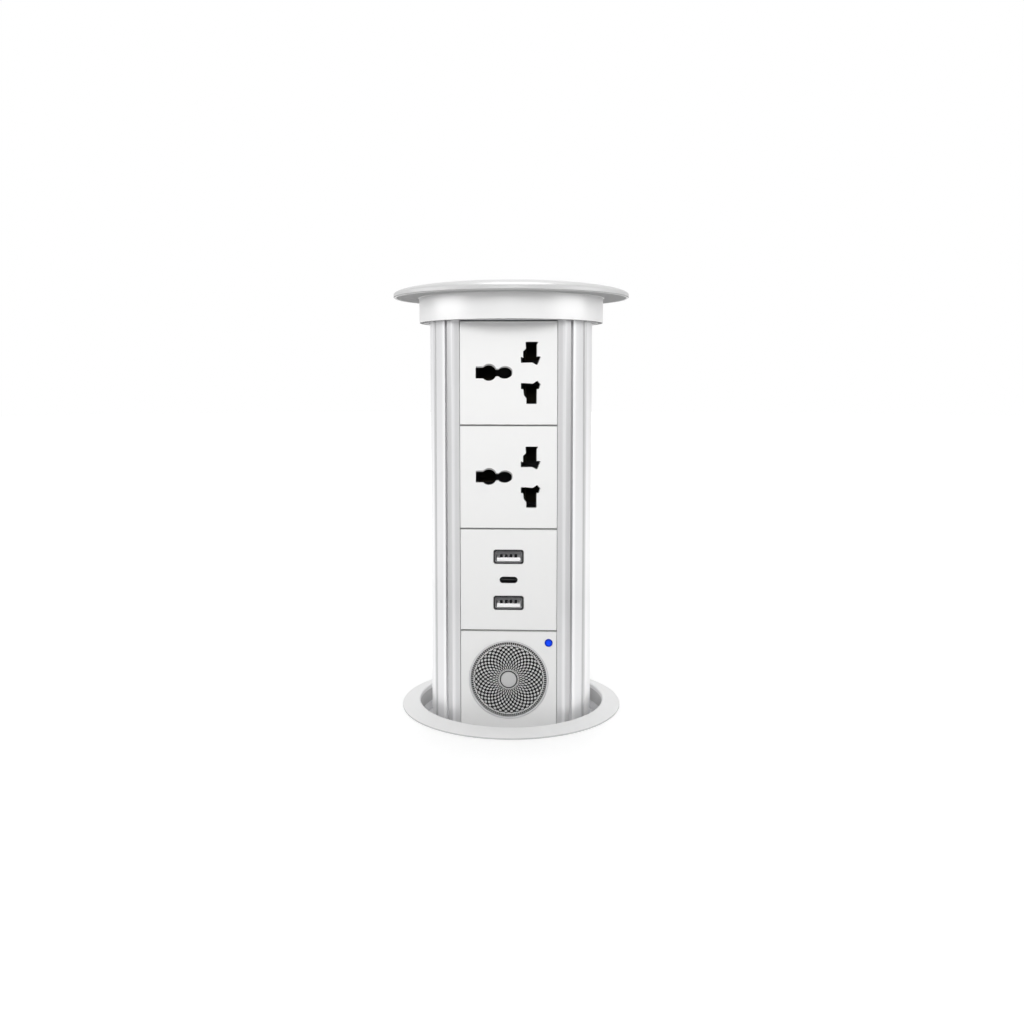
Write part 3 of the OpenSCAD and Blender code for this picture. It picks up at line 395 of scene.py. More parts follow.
outer = [(LIP_X, FRONT_Y, 0.25), (LIP_OUT_X, FRONT_Y, 0.9)]
outer += bend(SHOULDER_ANGLE, FRONT_GROOVE - GROOVE_CLEAR, COLUMN_R, parts=1) + groove(FRONT_GROOVE)
outer += bend(FRONT_GROOVE + GROOVE_CLEAR, FRONT_FLUTE - FLUTE_CLEAR, COLUMN_R, parts=6) + flute(FRONT_FLUTE)
outer += bend(FRONT_FLUTE + FLUTE_CLEAR, REAR_FLUTE - FLUTE_CLEAR, COLUMN_R, parts=20) + flute(REAR_FLUTE)
outer += bend(REAR_FLUTE + FLUTE_CLEAR, REAR_GROOVE - GROOVE_CLEAR, COLUMN_R, parts=6) + groove(REAR_GROOVE)
outer += bend(BACK_START, BACK_END, COLUMN_R, parts=18)
channel = bend(BACK_END, RAIL_ANGLE, CAVITY_R, parts=44) + [
    (RAIL_OUT_X, RAIL_BACK, 0),
    (RAIL_X, RAIL_BACK, 0.2),
    (RAIL_X, SLOT_BACK, 0),
    (SLOT_X, SLOT_BACK, 0),
    (SLOT_X, LIP_BACK, 0),
    (LIP_X, LIP_BACK, 0.1),
]
column = drawn(
    "column",
    eased(outer + mirrored(outer) + mirrored(channel) + channel, parts=5),
    lambda p: (p.x * MM, p.y * MM, COLUMN_LOW * MM),
    (0, 0, (COLUMN_HIGH - COLUMN_LOW) * MM),
)
smooth(column)
anodised = surface(
    "anodised_aluminium", (0.85, 0.85, 0.855), 0.36, metallic=0.5, grain=1500, stretch=(1, 1, 0.012),
    tone=0.035,
)
tree = anodised.node_tree
spot = spot_on(tree)
ahead = reckon(tree, "MULTIPLY", spot["Y"], -1.0)
turn = reckon(tree, "ARCTAN2", reckon(tree, "ABSOLUTE", spot["X"]), ahead)
painted_light_bands = add_node(tree, "ValToRGB", {"Fac": reckon(tree, "DIVIDE", turn, math.pi)})
stops = painted_light_bands.color_ramp.elements
for angle, level in COLUMN_PAINTED_LIGHT_BANDS:
    if angle == 0:
        stop = stops[0]
    elif angle == 180:
        stop = stops[len(stops) - 1]
    else:
        stop = stops.new(angle / 180)
    stop.color = (level, level, level * COOL_TINT, 1)
# Painted shade and highlights in bands round the column.
shaded(anodised, 1.0, painted_light_bands.outputs[0])
# Painted light at the column's foot, lifting its colour near the flange.
shaded(anodised, 1.0, graded(tree, spot["Z"], 0.0, FOOT_H * MM, FOOT_PAINTED_LIGHT, 1.0))
fit(column, anodised, "tower", "column_silver", "column_extrusion")

# Socket panels: white satin mouldings that slide down the channel on their tongues. Each has
# two openings for flat, round and slanted pins, and an earth opening at the left.
UPPER_LEVEL = 170
LEVEL_STEP = 50
PANEL_W, PANEL_HALF = 46.6, 24.55
TONGUE_W, TONGUE_OVER = 50.6, 0.4
FACE_Y, TONGUE_FRONT, PANEL_BACK = -30.4, -28.55, -27.05
CUT_FRONT, CUT_BACK = -32, -24
PANEL_EASE = 0.22
SHARP_EDGE = math.radians(35)
UPPER_PIN_OPENING = [
    (8.1, 14.8, 0.2), (14.0, 14.8, 0.2), (13.3, 13.4, 0.4), (13.3, 7.3, 0.2), (13.8, 8.0, 0.2),
    (15.1, 7.8, 0.3), (14.5, 6.2, 0.3), (13.5, 3.8, 0.3), (11.3, 5.0, 0.5), (5.9, 4.9, 0.2),
    (5.8, 7.8, 0.2), (7.0, 7.1, 0.2), (6.9, 10.3, 0.6), (8.3, 11.6, 0.3),
]
LOWER_PIN_OPENING = [
    (5.9, -4.9, 0.2), (8.0, -4.9, 0.5), (11.4, -5.2, 0.5), (13.6, -3.7, 0.3), (15.0, -5.4, 0.3),
    (14.3, -7.6, 0.3), (13.3, -7.6, 0.2), (13.2, -14.7, 0.2), (8.5, -14.7, 0.2), (8.5, -12.1, 0.3),
    (7.3, -10.5, 0.5), (7.0, -7.7, 0.3), (5.9, -7.6, 0.2),
]
EARTH_END_X, EARTH_NECK_X, EARTH_HALF = -15.8, -12.3, 2.55
EARTH_ROUND_X, EARTH_ROUND_R = -9.55, 3.7
EARTH_OVAL_X, EARTH_OVAL_W, EARTH_OVAL_H = -1.95, 3.6, 2.65
MOUTH_DEPTH = 0.5
MOUTH_FLOOR = 0.97
MOUTH_PAINTED_SHADE = 0.36
OPENINGS_X, OPENINGS_Z = 18, 20
SLOPE_Y = FACE_Y + 0.06
# Painted shade on the panels' surfaces deeper than INNER_Y: opening walls and tongues.
INNER_PAINTED_SHADE = 0.4
INNER_Y = -29.0
OVAL_PARTS = 12


def shape_with(piece, kind, **settings):
    """Adds a modifier, sets it and applies it."""
    change = piece.modifiers.new(kind.lower(), kind)
    for name, value in settings.items():
        setattr(change, name, value)
    pick(piece)
    bpy.ops.object.modifier_apply(modifier=change.name)


def cut(piece, *cutters):
    """Takes the cutters' shapes out of a piece."""
    for cutter in cutters:
        shape_with(piece, "BOOLEAN", operation="DIFFERENCE", solver="EXACT", object=cutter)
        bpy.data.objects.remove(cutter)


def soften(piece, width, parts=2):
    """Rounds the sharp edges by a width in mm and keeps the flat faces flat."""
    shape_with(
        piece, "BEVEL", width=width * MM, segments=parts, limit_method="ANGLE", angle_limit=SHARP_EDGE,
    )
    smooth(piece, angle=40)
    shape_with(piece, "WEIGHTED_NORMAL", keep_sharp=True)


def block(name, low, high):
    """A box from its lowest to its highest corner, in mm."""
    bpy.ops.object.select_all(action="DESELECT")
    bpy.ops.mesh.primitive_cube_add(size=1)
    piece = newest(name)
    piece.scale = [(b - a) * MM for a, b in zip(low, high)]
    piece.location = [(a + b) / 2 * MM for a, b in zip(low, high)]
    bpy.ops.object.transform_apply(location=True, rotation=True, scale=True)
    return piece


def select_faces(piece, wanted):
    """In edit mode, selects the faces for which wanted(centre, normal) holds."""
    bpy.ops.mesh.select_mode(type="FACE")
    mesh = bmesh.from_edit_mesh(piece.data)
    for face in mesh.faces:
        face.select_set(wanted(face.calc_center_median(), face.normal))
    mesh.select_flush_mode()
    bmesh.update_edit_mesh(piece.data)


def panel(name, level):
    """A panel's face between the lips, about its level, with the tongues behind them."""
    low, high = level - PANEL_HALF, level + PANEL_HALF
    piece = block(name, (-PANEL_W / 2, FACE_Y, low), (PANEL_W / 2, TONGUE_FRONT, high))
    bpy.ops.object.mode_set(mode="EDIT")
    select_faces(piece, lambda centre, normal: normal.y > 0.9)
    pull((0, 0, 0))
    growth = (TONGUE_W / PANEL_W, 1, (PANEL_HALF + TONGUE_OVER) / PANEL_HALF)
    bpy.ops.transform.resize(value=growth, center_override=(0, 0, level * MM))
    pull((0, (PANEL_BACK - TONGUE_FRONT) * MM, 0))
    face_outwards()
    bpy.ops.object.mode_set(mode="OBJECT")
    return piece


def drawn_on_face(name, corners, level, front=CUT_FRONT, back=CUT_BACK, parts=4):
    """Draws an outline about a level and extrudes it from the front to the back, in mm."""
    return drawn(
        name,
        eased(corners, parts),
        lambda p: (p.x * MM, front * MM, (level + p.y) * MM),
        (0, (back - front) * MM, 0),
    )


def oval(x, half_w, half_h, start, stop):
    """Points of an oval about (x, 0), from one angle to another, in degrees."""
    turns = [math.radians(start + (stop - start) * i / OVAL_PARTS) for i in range(OVAL_PARTS + 1)]
    return [(x + half_w * math.cos(t), half_h * math.sin(t), 0) for t in turns]


def mouth(name, corners, level, corner, widen):
    """A cutter that slopes an opening's mouth out to the front, from its lower left corner."""
    piece = drawn_on_face(name, corners, level, FACE_Y + MOUTH_DEPTH, FACE_Y - MOUTH_DEPTH)
    middle = [(low + high) / 2 for low, high in zip(piece.bound_box[0], piece.bound_box[6])]
    bpy.ops.object.mode_set(mode="EDIT")
    select_faces(piece, lambda centre, normal: normal.y > 0.9)
    bpy.ops.transform.resize(value=(MOUTH_FLOOR, 1, MOUTH_FLOOR), center_override=middle)
    select_faces(piece, lambda centre, normal: normal.y < -0.9 and centre.y < FACE_Y * MM)
    fixed = (corner[0] * MM, 0, (level + corner[1]) * MM)
    bpy.ops.transform.resize(value=(widen[0], 1, widen[1]), center_override=fixed)
    bpy.ops.object.mode_set(mode="OBJECT")
    return piece


def copied(piece, name, shift):
    """A copy of a piece with its own mesh, moved by a shift in mm."""
    pick(piece)
    bpy.ops.object.duplicate(linked=False)
    twin = newest(name)
    twin.location = [c * MM for c in shift]
    bpy.ops.object.transform_apply(location=True, rotation=False, scale=False)
    return twin


def satin_white(name):
    """The panels' white plastic, with painted shade on the walls of their openings and on the tongues."""
    finish = surface(name, (0.88, 0.88, 0.875), 0.42, grain=2200, tone=0.015, relief=0.06)
    tree = finish.node_tree
    shaded(finish, reckon(tree, "GREATER_THAN", spot_on(tree)["Y"], INNER_Y * MM), INNER_PAINTED_SHADE)
    return finish


earth_opening = [(EARTH_END_X, -EARTH_HALF, 0.25), (EARTH_END_X, EARTH_HALF, 0.25)]
earth_opening += [(EARTH_NECK_X, EARTH_HALF, 0.2)]
earth_opening += oval(EARTH_ROUND_X, EARTH_ROUND_R, EARTH_ROUND_R, 132, 25)
earth_opening += oval(EARTH_OVAL_X, EARTH_OVAL_W, EARTH_OVAL_H, 146, 18)
earth_opening += oval(EARTH_OVAL_X, EARTH_OVAL_W, EARTH_OVAL_H, -18, -146)
earth_opening += oval(EARTH_ROUND_X, EARTH_ROUND_R, EARTH_ROUND_R, -25, -132)
earth_opening += [(EARTH_NECK_X, -EARTH_HALF, 0.2)]
upper_panel = panel("upper_socket_panel", UPPER_LEVEL)
cut(
    upper_panel,
    drawn_on_face("live_cutter", UPPER_PIN_OPENING, UPPER_LEVEL),
    drawn_on_face("neutral_cutter", LOWER_PIN_OPENING, UPPER_LEVEL),
    drawn_on_face("earth_cutter", earth_opening, UPPER_LEVEL),
    mouth("live_mouth", UPPER_PIN_OPENING, UPPER_LEVEL, corner=(5.8, 3.8), widen=(1.11, 1.03)),
    mouth("neutral_mouth", LOWER_PIN_OPENING, UPPER_LEVEL, corner=(5.9, -14.7), widen=(1.11, 1.05)),
    mouth("earth_mouth", earth_opening, UPPER_LEVEL, corner=(-15.8, -3.6), widen=(1.07, 1.27)),
)
soften(upper_panel, PANEL_EASE)
lower_panel = copied(upper_panel, "lower_socket_panel", (0, 0, -LEVEL_STEP))
socket_white = satin_white("socket_white")
tree = socket_white.node_tree
spot = spot_on(tree)
# Painted shade on the sloped mouths of the socket openings.
sunk = reckon(tree, "GREATER_THAN", spot["Y"], SLOPE_Y * MM)
inner = reckon(tree, "LESS_THAN", reckon(tree, "ABSOLUTE", spot["X"]), OPENINGS_X * MM)
off_seam = reckon(tree, "SUBTRACT", spot["Z"], (UPPER_LEVEL - LEVEL_STEP / 2) * MM)
off_seam = reckon(tree, "ABSOLUTE", off_seam)
beside = reckon(tree, "COMPARE", off_seam, LEVEL_STEP / 2 * MM, OPENINGS_Z * MM)
mouth_shade_mask = reckon(tree, "MULTIPLY", sunk, reckon(tree, "MULTIPLY", inner, beside))
shaded(socket_white, mouth_shade_mask, MOUTH_PAINTED_SHADE)
fit(upper_panel, socket_white, "tower", "panel_white", "socket_plate_upper")
fit(lower_panel, socket_white, "tower", "panel_white", "socket_plate_lower")


# Socket insides: black moulded housings behind the panels, closed by covers, with three brass
# strips whose leaves grip the pins. They keep the shape that the CAD gives them.
def dress(finish, *nodes):
    """Gives CAD pieces that keep their shape a material."""
    for node in nodes:
        mesh = bpy.data.objects[node].data
        mesh.materials.clear()
        mesh.materials.append(finish)


moulded_black = surface(
    "moulded_black", (0.022, 0.022, 0.024), 0.55, specular=0.2, grain=1400, tone=0.2, relief=0.1,
)
# The brass strips are coloured near black: painted shade inside the socket openings.
brass = surface(
    "brass_painted_dark", (0.02, 0.017, 0.012), 0.85, specular=0.1, grain=1200, stretch=(1, 1, 0.05), tone=0.3,
)
dress(moulded_black, "socket_housing_upper", "socket_housing_lower", "housing_covers")
dress(brass, "live_busbar", "neutral_busbar", "earth_busbar")

# Charging panel: a white moulding with two wide ports and a small one. Its four posts hold the
# circuit board behind it.
CHARGE_LEVEL = 70
PORT_OFFSET = 11.3
PORT_OPENING = (14.75, 7.05, 1.2)
SMALL_OPENING = (8.75, 3.15, 1.57)
BOARD_Y = -13.05
POST_X, POST_Z, POST_R = 19.4, 19.9, 2
POST_ROOT = 0.3


def rounded(width, height, radius):
    """Corners of a rectangle about the middle, eased to a radius."""
    x, z = width / 2, height / 2
    return [(-x, -z, radius), (x, -z, radius), (x, z, radius), (-x, z, radius)]


def rod(name, x, z, radius, front, back, steps=32):
    """A round bar that runs back from the front, in mm."""
    bpy.ops.object.select_all(action="DESELECT")
    bpy.ops.mesh.primitive_cylinder_add(
        vertices=steps,
        radius=radius * MM,
        depth=(back - front) * MM,
        location=(x * MM, (front + back) / 2 * MM, z * MM),
        rotation=(math.pi / 2, 0, 0),
    )
    piece = newest(name)
    bpy.ops.object.transform_apply(location=True, rotation=True, scale=True)
    return piece


def joined(piece, *others):
    """Makes other meshes part of a piece."""
    pick(piece, *others)
    bpy.ops.object.join()


def posts(spots, level, radius, back):
    """Round posts with eased ends, rooted in the back of a panel."""
    made = []
    for x, z in spots:
        post = rod("post", x, level + z, radius, PANEL_BACK - POST_ROOT, back)
        soften(post, width=0.3)
        made.append(post)
    return made


charging_panel = panel("charging_panel", CHARGE_LEVEL)
cut(
    charging_panel,
    drawn_on_face("upper_port_cutter", rounded(*PORT_OPENING), CHARGE_LEVEL + PORT_OFFSET),
    drawn_on_face("lower_port_cutter", rounded(*PORT_OPENING), CHARGE_LEVEL - PORT_OFFSET),
    drawn_on_face("small_port_cutter", rounded(*SMALL_OPENING), CHARGE_LEVEL, parts=8),
)
soften(charging_panel, PANEL_EASE)
post_spots = [(x, z) for z in (POST_Z, -POST_Z) for x in (-POST_X, POST_X)]
joined(charging_panel, *posts(post_spots, CHARGE_LEVEL, POST_R, BOARD_Y))
panel_white = satin_white("panel_white")
fit(charging_panel, panel_white, "tower", "panel_white", "usb_plate")

# Wide ports: each has a drawn steel shell with a flared mouth, a white tongue along its lower
# side and four dark contacts above the tongue.
PORT_RIM_T = 0.5
PORT_RIM_PAINTED_SHADE = 0.03
PORT_RIM_BACK = FACE_Y + 0.12
FLARE_DEPTH = 1.6
PORT_DEPTH = 4.5
PORT_TONGUE_LOW = CHARGE_LEVEL + PORT_OFFSET - 2.3
PORT_TONGUE_HALF, PORT_TONGUE_T = 5.8, 1.9
PORT_TONGUE_FRONT, PORT_TONGUE_BACK = -29.9, BOARD_Y - 1
CONTACT_HALF = 0.65
CONTACT_FRONT, CONTACT_BACK = -29.4, -27.0
CONTACT_LOW, CONTACT_TOP = PORT_TONGUE_LOW + 1.85, PORT_TONGUE_LOW + 3.1
CONTACT_SPOTS = (-3.6, -1.2, 1.0, 3.4)


def step_in(size_from, size_to, level, back=0):
    """Insets the selected port face from one size to another and pushes it back."""
    pull((0, 0, 0))
    ratio = (size_to[0] / size_from[0], 1, size_to[1] / size_from[1])
    bpy.ops.transform.resize(value=ratio, center_override=(0, 0, level * MM))
    if back:
        bpy.ops.transform.translate(value=(0, back * MM, 0))


def port_shell(name, level, body, rim, flare, hole, radius):
    """A shell drawn back from its rim: sizes are (width, height) in mm."""
    piece = drawn_on_face(name, rounded(*body, radius), level, FACE_Y + PORT_RIM_T, BOARD_Y, parts=6)
    bpy.ops.object.mode_set(mode="EDIT")
    select_faces(piece, lambda centre, normal: normal.y < -0.9)
    step_in(body, rim, level)
    pull((0, -PORT_RIM_T * MM, 0))
    step_in(rim, flare, level)
    step_in(flare, hole, level, FLARE_DEPTH)
    pull((0, PORT_DEPTH * MM, 0))
    tidy_mesh()
    soften(piece, width=0.1)
    return piece


upper_shell = port_shell(
    "upper_port_shell", CHARGE_LEVEL + PORT_OFFSET,
    body=(13.2, 5.8), rim=(14.6, 6.9), flare=(13.0, 5.35), hole=(12.2, 4.8), radius=0.95,
)
lower_shell = copied(upper_shell, "lower_port_shell", (0, 0, -2 * PORT_OFFSET))
port_nickel = surface(
    "dark_nickel", (0.42, 0.42, 0.43), 0.45, metallic=0.2, grain=1800, stretch=(1, 0.1, 1), tone=0.1,
)
tree = port_nickel.node_tree
# Painted shade: the rim's front is darkened to a near-black outline round the port.
rim = reckon(tree, "LESS_THAN", spot_on(tree)["Y"], PORT_RIM_BACK * MM)
shaded(port_nickel, rim, PORT_RIM_PAINTED_SHADE)
fit(upper_shell, port_nickel, "tower", "port_steel", "usb_a_shell_upper")
fit(lower_shell, port_nickel, "tower", "port_steel", "usb_a_shell_lower")

tongues = block(
    "port_tongues",
    (-PORT_TONGUE_HALF, PORT_TONGUE_FRONT, PORT_TONGUE_LOW),
    (PORT_TONGUE_HALF, PORT_TONGUE_BACK, PORT_TONGUE_LOW + PORT_TONGUE_T),
)
soften(tongues, width=0.3)
joined(tongues, copied(tongues, "lower_tongue", (0, 0, -2 * PORT_OFFSET)))
tongue_white = surface("tongue_white", (0.98, 0.98, 0.98), 0.4, grain=2500, tone=0.015, relief=0.04)
fit(tongues, tongue_white, "tower", "port_white", "usb_a_tongues")

first_spot = CONTACT_SPOTS[0]
contacts = block(
    "port_contacts",
    (first_spot - CONTACT_HALF, CONTACT_FRONT, CONTACT_LOW),
    (first_spot + CONTACT_HALF, CONTACT_BACK, CONTACT_TOP),
)
soften(contacts, width=0.12)
joined(contacts, *[copied(contacts, "contact", (x - first_spot, 0, 0)) for x in CONTACT_SPOTS[1:]])
joined(contacts, copied(contacts, "lower_contacts", (0, 0, -2 * PORT_OFFSET)))
contact_dark = surface("dark_plating", (0.01, 0.01, 0.011), 0.6, specular=0.1, grain=2500, tone=0.2)
fit(contacts, contact_dark, "tower", "port_contacts", "usb_a_contacts")

# Small port: a black nickel shell with round ends, drawn like the wide ones, and a thin black
# tongue in its middle.
SMALL_TONGUE_HALF, SMALL_TONGUE_T = 3.35, 0.7
SMALL_TONGUE_FRONT = -29.4
small_shell = port_shell(
    "small_port_shell", CHARGE_LEVEL,
    body=(8.6, 3.0), rim=(8.6, 3.0), flare=(8.3, 2.7), hole=(8.0, 2.4), radius=1.49,
)
black_nickel = surface("black_nickel", (0.05, 0.05, 0.055), 0.3, metallic=0.8, grain=1800, tone=0.2)
fit(small_shell, black_nickel, "tower", "small_port_steel", "usb_c_shell")
small_tongue = block(
    "small_port_tongue",
    (-SMALL_TONGUE_HALF, SMALL_TONGUE_FRONT, CHARGE_LEVEL - SMALL_TONGUE_T / 2),
    (SMALL_TONGUE_HALF, PORT_TONGUE_BACK, CHARGE_LEVEL + SMALL_TONGUE_T / 2),
)
soften(small_tongue, width=0.15)
tongue_black = surface("tongue_black", (0.012, 0.012, 0.012), 0.5, grain=2500, tone=0.3)
fit(small_tongue, tongue_black, "tower", "port_black", "usb_c_tongue")

# Electronics: the charging board on its panel's posts and the sound board behind the speaker,
# both in green solder mask, the transformer wound in tape and the capacitors in shrink sleeve.
MASK_GREEN = (0.03, 0.2, 0.09)
TRACK_SCALE, TRACK_W = 160.0, 0.06
solder_mask = surface("solder_mask", MASK_GREEN, 0.35, grain=500, tone=0.25, relief=0.15)
tree = solder_mask.node_tree
spot = add_node(tree, "TexCoord").outputs["Object"]
tracks = add_node(tree, "TexBrick", {
    "Vector": add_node(tree, "Mapping", {"Vector": spot, "Rotation": (math.pi / 2, 0, 0)}).outputs[0],
    "Color1": (*MASK_GREEN, 1),
    "Color2": (0.025, 0.17, 0.08, 1),
    "Mortar": (0.06, 0.3, 0.13, 1),
    "Scale": TRACK_SCALE,
    "Mortar Size": TRACK_W,
})
tree.links.new(tracks.outputs["Color"], tree.nodes["Principled BSDF"].inputs["Base Color"])
coil_tape = surface(
    "coil_tape", (0.75, 0.55, 0.08), 0.25, grain=700, stretch=(1, 1, 6), tone=0.1, relief=0.08,
)
shrink_sleeve = surface("shrink_sleeve", (0.03, 0.035, 0.08), 0.25, grain=900, tone=0.2)
dress(solder_mask, "usb_board", "sound_board")
dress(coil_tape, "power_transformer")
dress(shrink_sleeve, "capacitors")

# Speaker panel: a white moulding with a stepped round opening for the grille and a small hole
# for the status lens. Three posts hold the sound board.
SPEAKER_LEVEL = 20
GRILLE_Z = 20.5
OPENING_R = 18.6
STEP_R, STEP_Y = 19.5, -28.9
LENS_X, LENS_Z, LENS_HOLE_R = 19.5, 39.1, 2.0
SOUND_BOARD_Y = -18.05
SOUND_POST_X, SOUND_POST_Z, SOUND_POST_R = 20.1, 19, 1.8
speaker_panel = panel("speaker_panel", SPEAKER_LEVEL)
cut(
    speaker_panel,
    rod("opening_cutter", 0, GRILLE_Z, OPENING_R, CUT_FRONT, CUT_BACK, steps=160),
    rod("step_cutter", 0, GRILLE_Z, STEP_R, CUT_FRONT, STEP_Y, steps=160),
    rod("lens_cutter", LENS_X, LENS_Z, LENS_HOLE_R, CUT_FRONT, CUT_BACK, steps=48),
)
soften(speaker_panel, PANEL_EASE)
post_spots = [
    (-SOUND_POST_X, SOUND_POST_Z),
    (-SOUND_POST_X, -SOUND_POST_Z),
    (SOUND_POST_X, -SOUND_POST_Z),
]
joined(speaker_panel, *posts(post_spots, SPEAKER_LEVEL, SOUND_POST_R, SOUND_BOARD_Y))
fit(speaker_panel, panel_white, "tower", "panel_white", "speaker_plate")

# Grille: a round pressed sheet with a lattice of diamond openings in rings, a border of fine
# slits and a plain cap in its middle, held by a bright turned ring.
SHEET_FRONT = 29.55
SHEET_T = 0.45
SPOKES = 36
RING_RADII = [17.1, 14.9, 12.65, 10.15, 7.2, 4.7]
STRAND_SHARE = 0.045
CORNER_PERCENT = 37
BORDER_STEPS = 324
BORDER_RADII = [18.9, 18.55, 17.3, 17.05]
SEAT_H = -STEP_Y
EDGE_IN_R, EDGE_OUT_R, EDGE_TOP = 18.8, 19.38, 29.58
CAP_R, CAP_LOW, CAP_TOP = 4.8, 29.0, 30.2
MIDDLE_R, MIDDLE_TONE_AND_PAINTED_SHADE = 4.9, 0.6
BORDER_R, BORDER_PAINTED_SHADE = 17.2, 0.5
WALL_Y, WALL_PAINTED_SHADE = 0.15 - SHEET_FRONT, 0.06
TRIM_IN_R, TRIM_OUT_R = 18.6, 19.4
TRIM_LOW, TRIM_TOP = 29.6, 30.5


def turned(name, corners, steps=192, closed=True):
    """Turns a section of (radius, height, easing) corners, in mm, about the tower's axis."""
    section = [(p.x * MM, 0, p.y * MM) for p in eased(corners, closed=closed)]
    piece = draw_chain(name, section + section[:1] if closed else section)
    bpy.ops.mesh.select_all(action="SELECT")
    bpy.ops.mesh.spin(steps=steps, angle=2 * math.pi, center=(0, 0, 0), axis=(0, 0, 1))
    tidy_mesh()
    smooth(piece)
    return piece


def facing_front(piece, x, z):
    """Turns a piece built about the upright axis so that its top faces the front."""
    pick(piece)
    piece.rotation_euler.x = math.pi / 2
    piece.location = (x * MM, 0, z * MM)
    bpy.ops.object.transform_apply(location=True, rotation=True, scale=False)


def flat_rings(name, spokes, radii, height):
    """A flat disc of faces between rings, at a height in mm, left in edit mode."""
    bpy.ops.object.select_all(action="DESELECT")
    bpy.ops.mesh.primitive_circle_add(vertices=spokes, radius=radii[0] * MM, location=(0, 0, height * MM))
    piece = newest(name)
    bpy.ops.object.transform_apply(location=True, rotation=True, scale=True)
    bpy.ops.object.mode_set(mode="EDIT")
    bpy.ops.mesh.select_mode(type="EDGE")
    bpy.ops.mesh.select_all(action="SELECT")
    for wide, narrow in zip(radii, radii[1:]):
        bpy.ops.mesh.extrude_edges_move()
        bpy.ops.transform.resize(value=(narrow / wide, narrow / wide, 1), center_override=(0, 0, 0))
    face_outwards()
    return piece


def in_slit(centre, normal):
    """Two faces of every three in the border's middle ring."""
    step = math.floor(math.atan2(centre.y, centre.x) / (2 * math.pi) * BORDER_STEPS)
    return BORDER_RADII[2] < centre.xy.length / MM < BORDER_RADII[1] and step % 3 != 0


def out_from(tree, x, z):
    """How far a point on a front piece is from its middle, in metres."""
    place = add_node(tree, "TexCoord").outputs["Object"]
    centre = (x * MM, 0, z * MM)
    across = add_node(tree, "VectorMath", {0: place, 1: centre}, operation="SUBTRACT").outputs[0]
    across = add_node(tree, "VectorMath", {0: across, 1: (1, 0, 1)}, operation="MULTIPLY").outputs[0]
    return add_node(tree, "VectorMath", {0: across}, operation="LENGTH").outputs["Value"]


lattice = flat_rings("grille_sheet", SPOKES, RING_RADII, SHEET_FRONT)
grid_size = len(bmesh.from_edit_mesh(lattice.data).verts)
bpy.ops.mesh.select_mode(type="FACE")
bpy.ops.mesh.select_all(action="SELECT")
bpy.ops.mesh.poke()
bpy.ops.mesh.select_mode(type="EDGE")
mesh = bmesh.from_edit_mesh(lattice.data)
mesh.verts.ensure_lookup_table()
for edge in mesh.edges:
    on_grid = all(vertex.index < grid_size for vertex in edge.verts)
    edge.select_set(on_grid and not edge.is_boundary)
mesh.select_flush_mode()
bmesh.update_edit_mesh(lattice.data)
bpy.ops.mesh.dissolve_edges(use_verts=False)
bpy.ops.mesh.select_mode(type="FACE")
bpy.ops.mesh.select_all(action="SELECT")
bpy.ops.mesh.inset(thickness=STRAND_SHARE, use_individual=True, use_relative_offset=True)
bpy.ops.mesh.bevel(offset_type="PERCENT", offset_pct=CORNER_PERCENT, affect="VERTICES", segments=1)
bpy.ops.mesh.select_face_by_sides(number=5, type="GREATER", extend=False)
bpy.ops.mesh.delete(type="FACE")
bpy.ops.object.mode_set(mode="OBJECT")
shape_with(lattice, "SOLIDIFY", thickness=SHEET_T * MM, offset=-1)

border = flat_rings("grille_border", BORDER_STEPS, BORDER_RADII, SHEET_FRONT + 0.05)
select_faces(border, in_slit)
bpy.ops.mesh.delete(type="FACE")
bpy.ops.object.mode_set(mode="OBJECT")
shape_with(border, "SOLIDIFY", thickness=SHEET_T * MM, offset=-1)

edge_ring = turned("grille_edge", [
    (EDGE_IN_R, SEAT_H, 0),
    (EDGE_OUT_R, SEAT_H, 0),
    (EDGE_OUT_R, EDGE_TOP, 0.05),
    (EDGE_IN_R, EDGE_TOP, 0),
], steps=160)
cap = turned("grille_cap", [
    (0, CAP_LOW, 0),
    (CAP_R, CAP_LOW, 0.05),
    (CAP_R, SHEET_FRONT + 0.08, 0.08),
    (CAP_R - 0.4, SHEET_FRONT + 0.08, 0.08),
    (CAP_R - 0.4, CAP_LOW + 0.1, 0.05),
    (CAP_R - 1.05, CAP_LOW + 0.1, 0.05),
    (CAP_R - 1.05, CAP_TOP - 0.25, 0.25),
    (2.0, CAP_TOP - 0.05, 1.5),
    (0, CAP_TOP, 0),
], steps=96, closed=False)
joined(lattice, border, edge_ring, cap)
facing_front(lattice, 0, GRILLE_Z)
smooth(lattice, angle=30)
grille_paint = surface(
    "grille_paint", (0.94, 0.94, 0.94), 0.4, metallic=0.1, grain=2600, tone=0.12, relief=0.08,
)
tree = grille_paint.node_tree
out = out_from(tree, 0, GRILLE_Z)
# Painted shade on the sheet's walls and on everything behind its front.
behind = reckon(tree, "GREATER_THAN", spot_on(tree)["Y"], WALL_Y * MM)
shaded(grille_paint, behind, WALL_PAINTED_SHADE)
# The middle is darker: the cap's own greyer tone, and painted shade on the ring round it.
shaded(grille_paint, reckon(tree, "LESS_THAN", out, MIDDLE_R * MM), MIDDLE_TONE_AND_PAINTED_SHADE)
# Painted shade on the slit border, standing for the shade in its slits.
shaded(grille_paint, reckon(tree, "GREATER_THAN", out, BORDER_R * MM), BORDER_PAINTED_SHADE)
fit(lattice, grille_paint, "tower", "grille_silver", "speaker_grille")

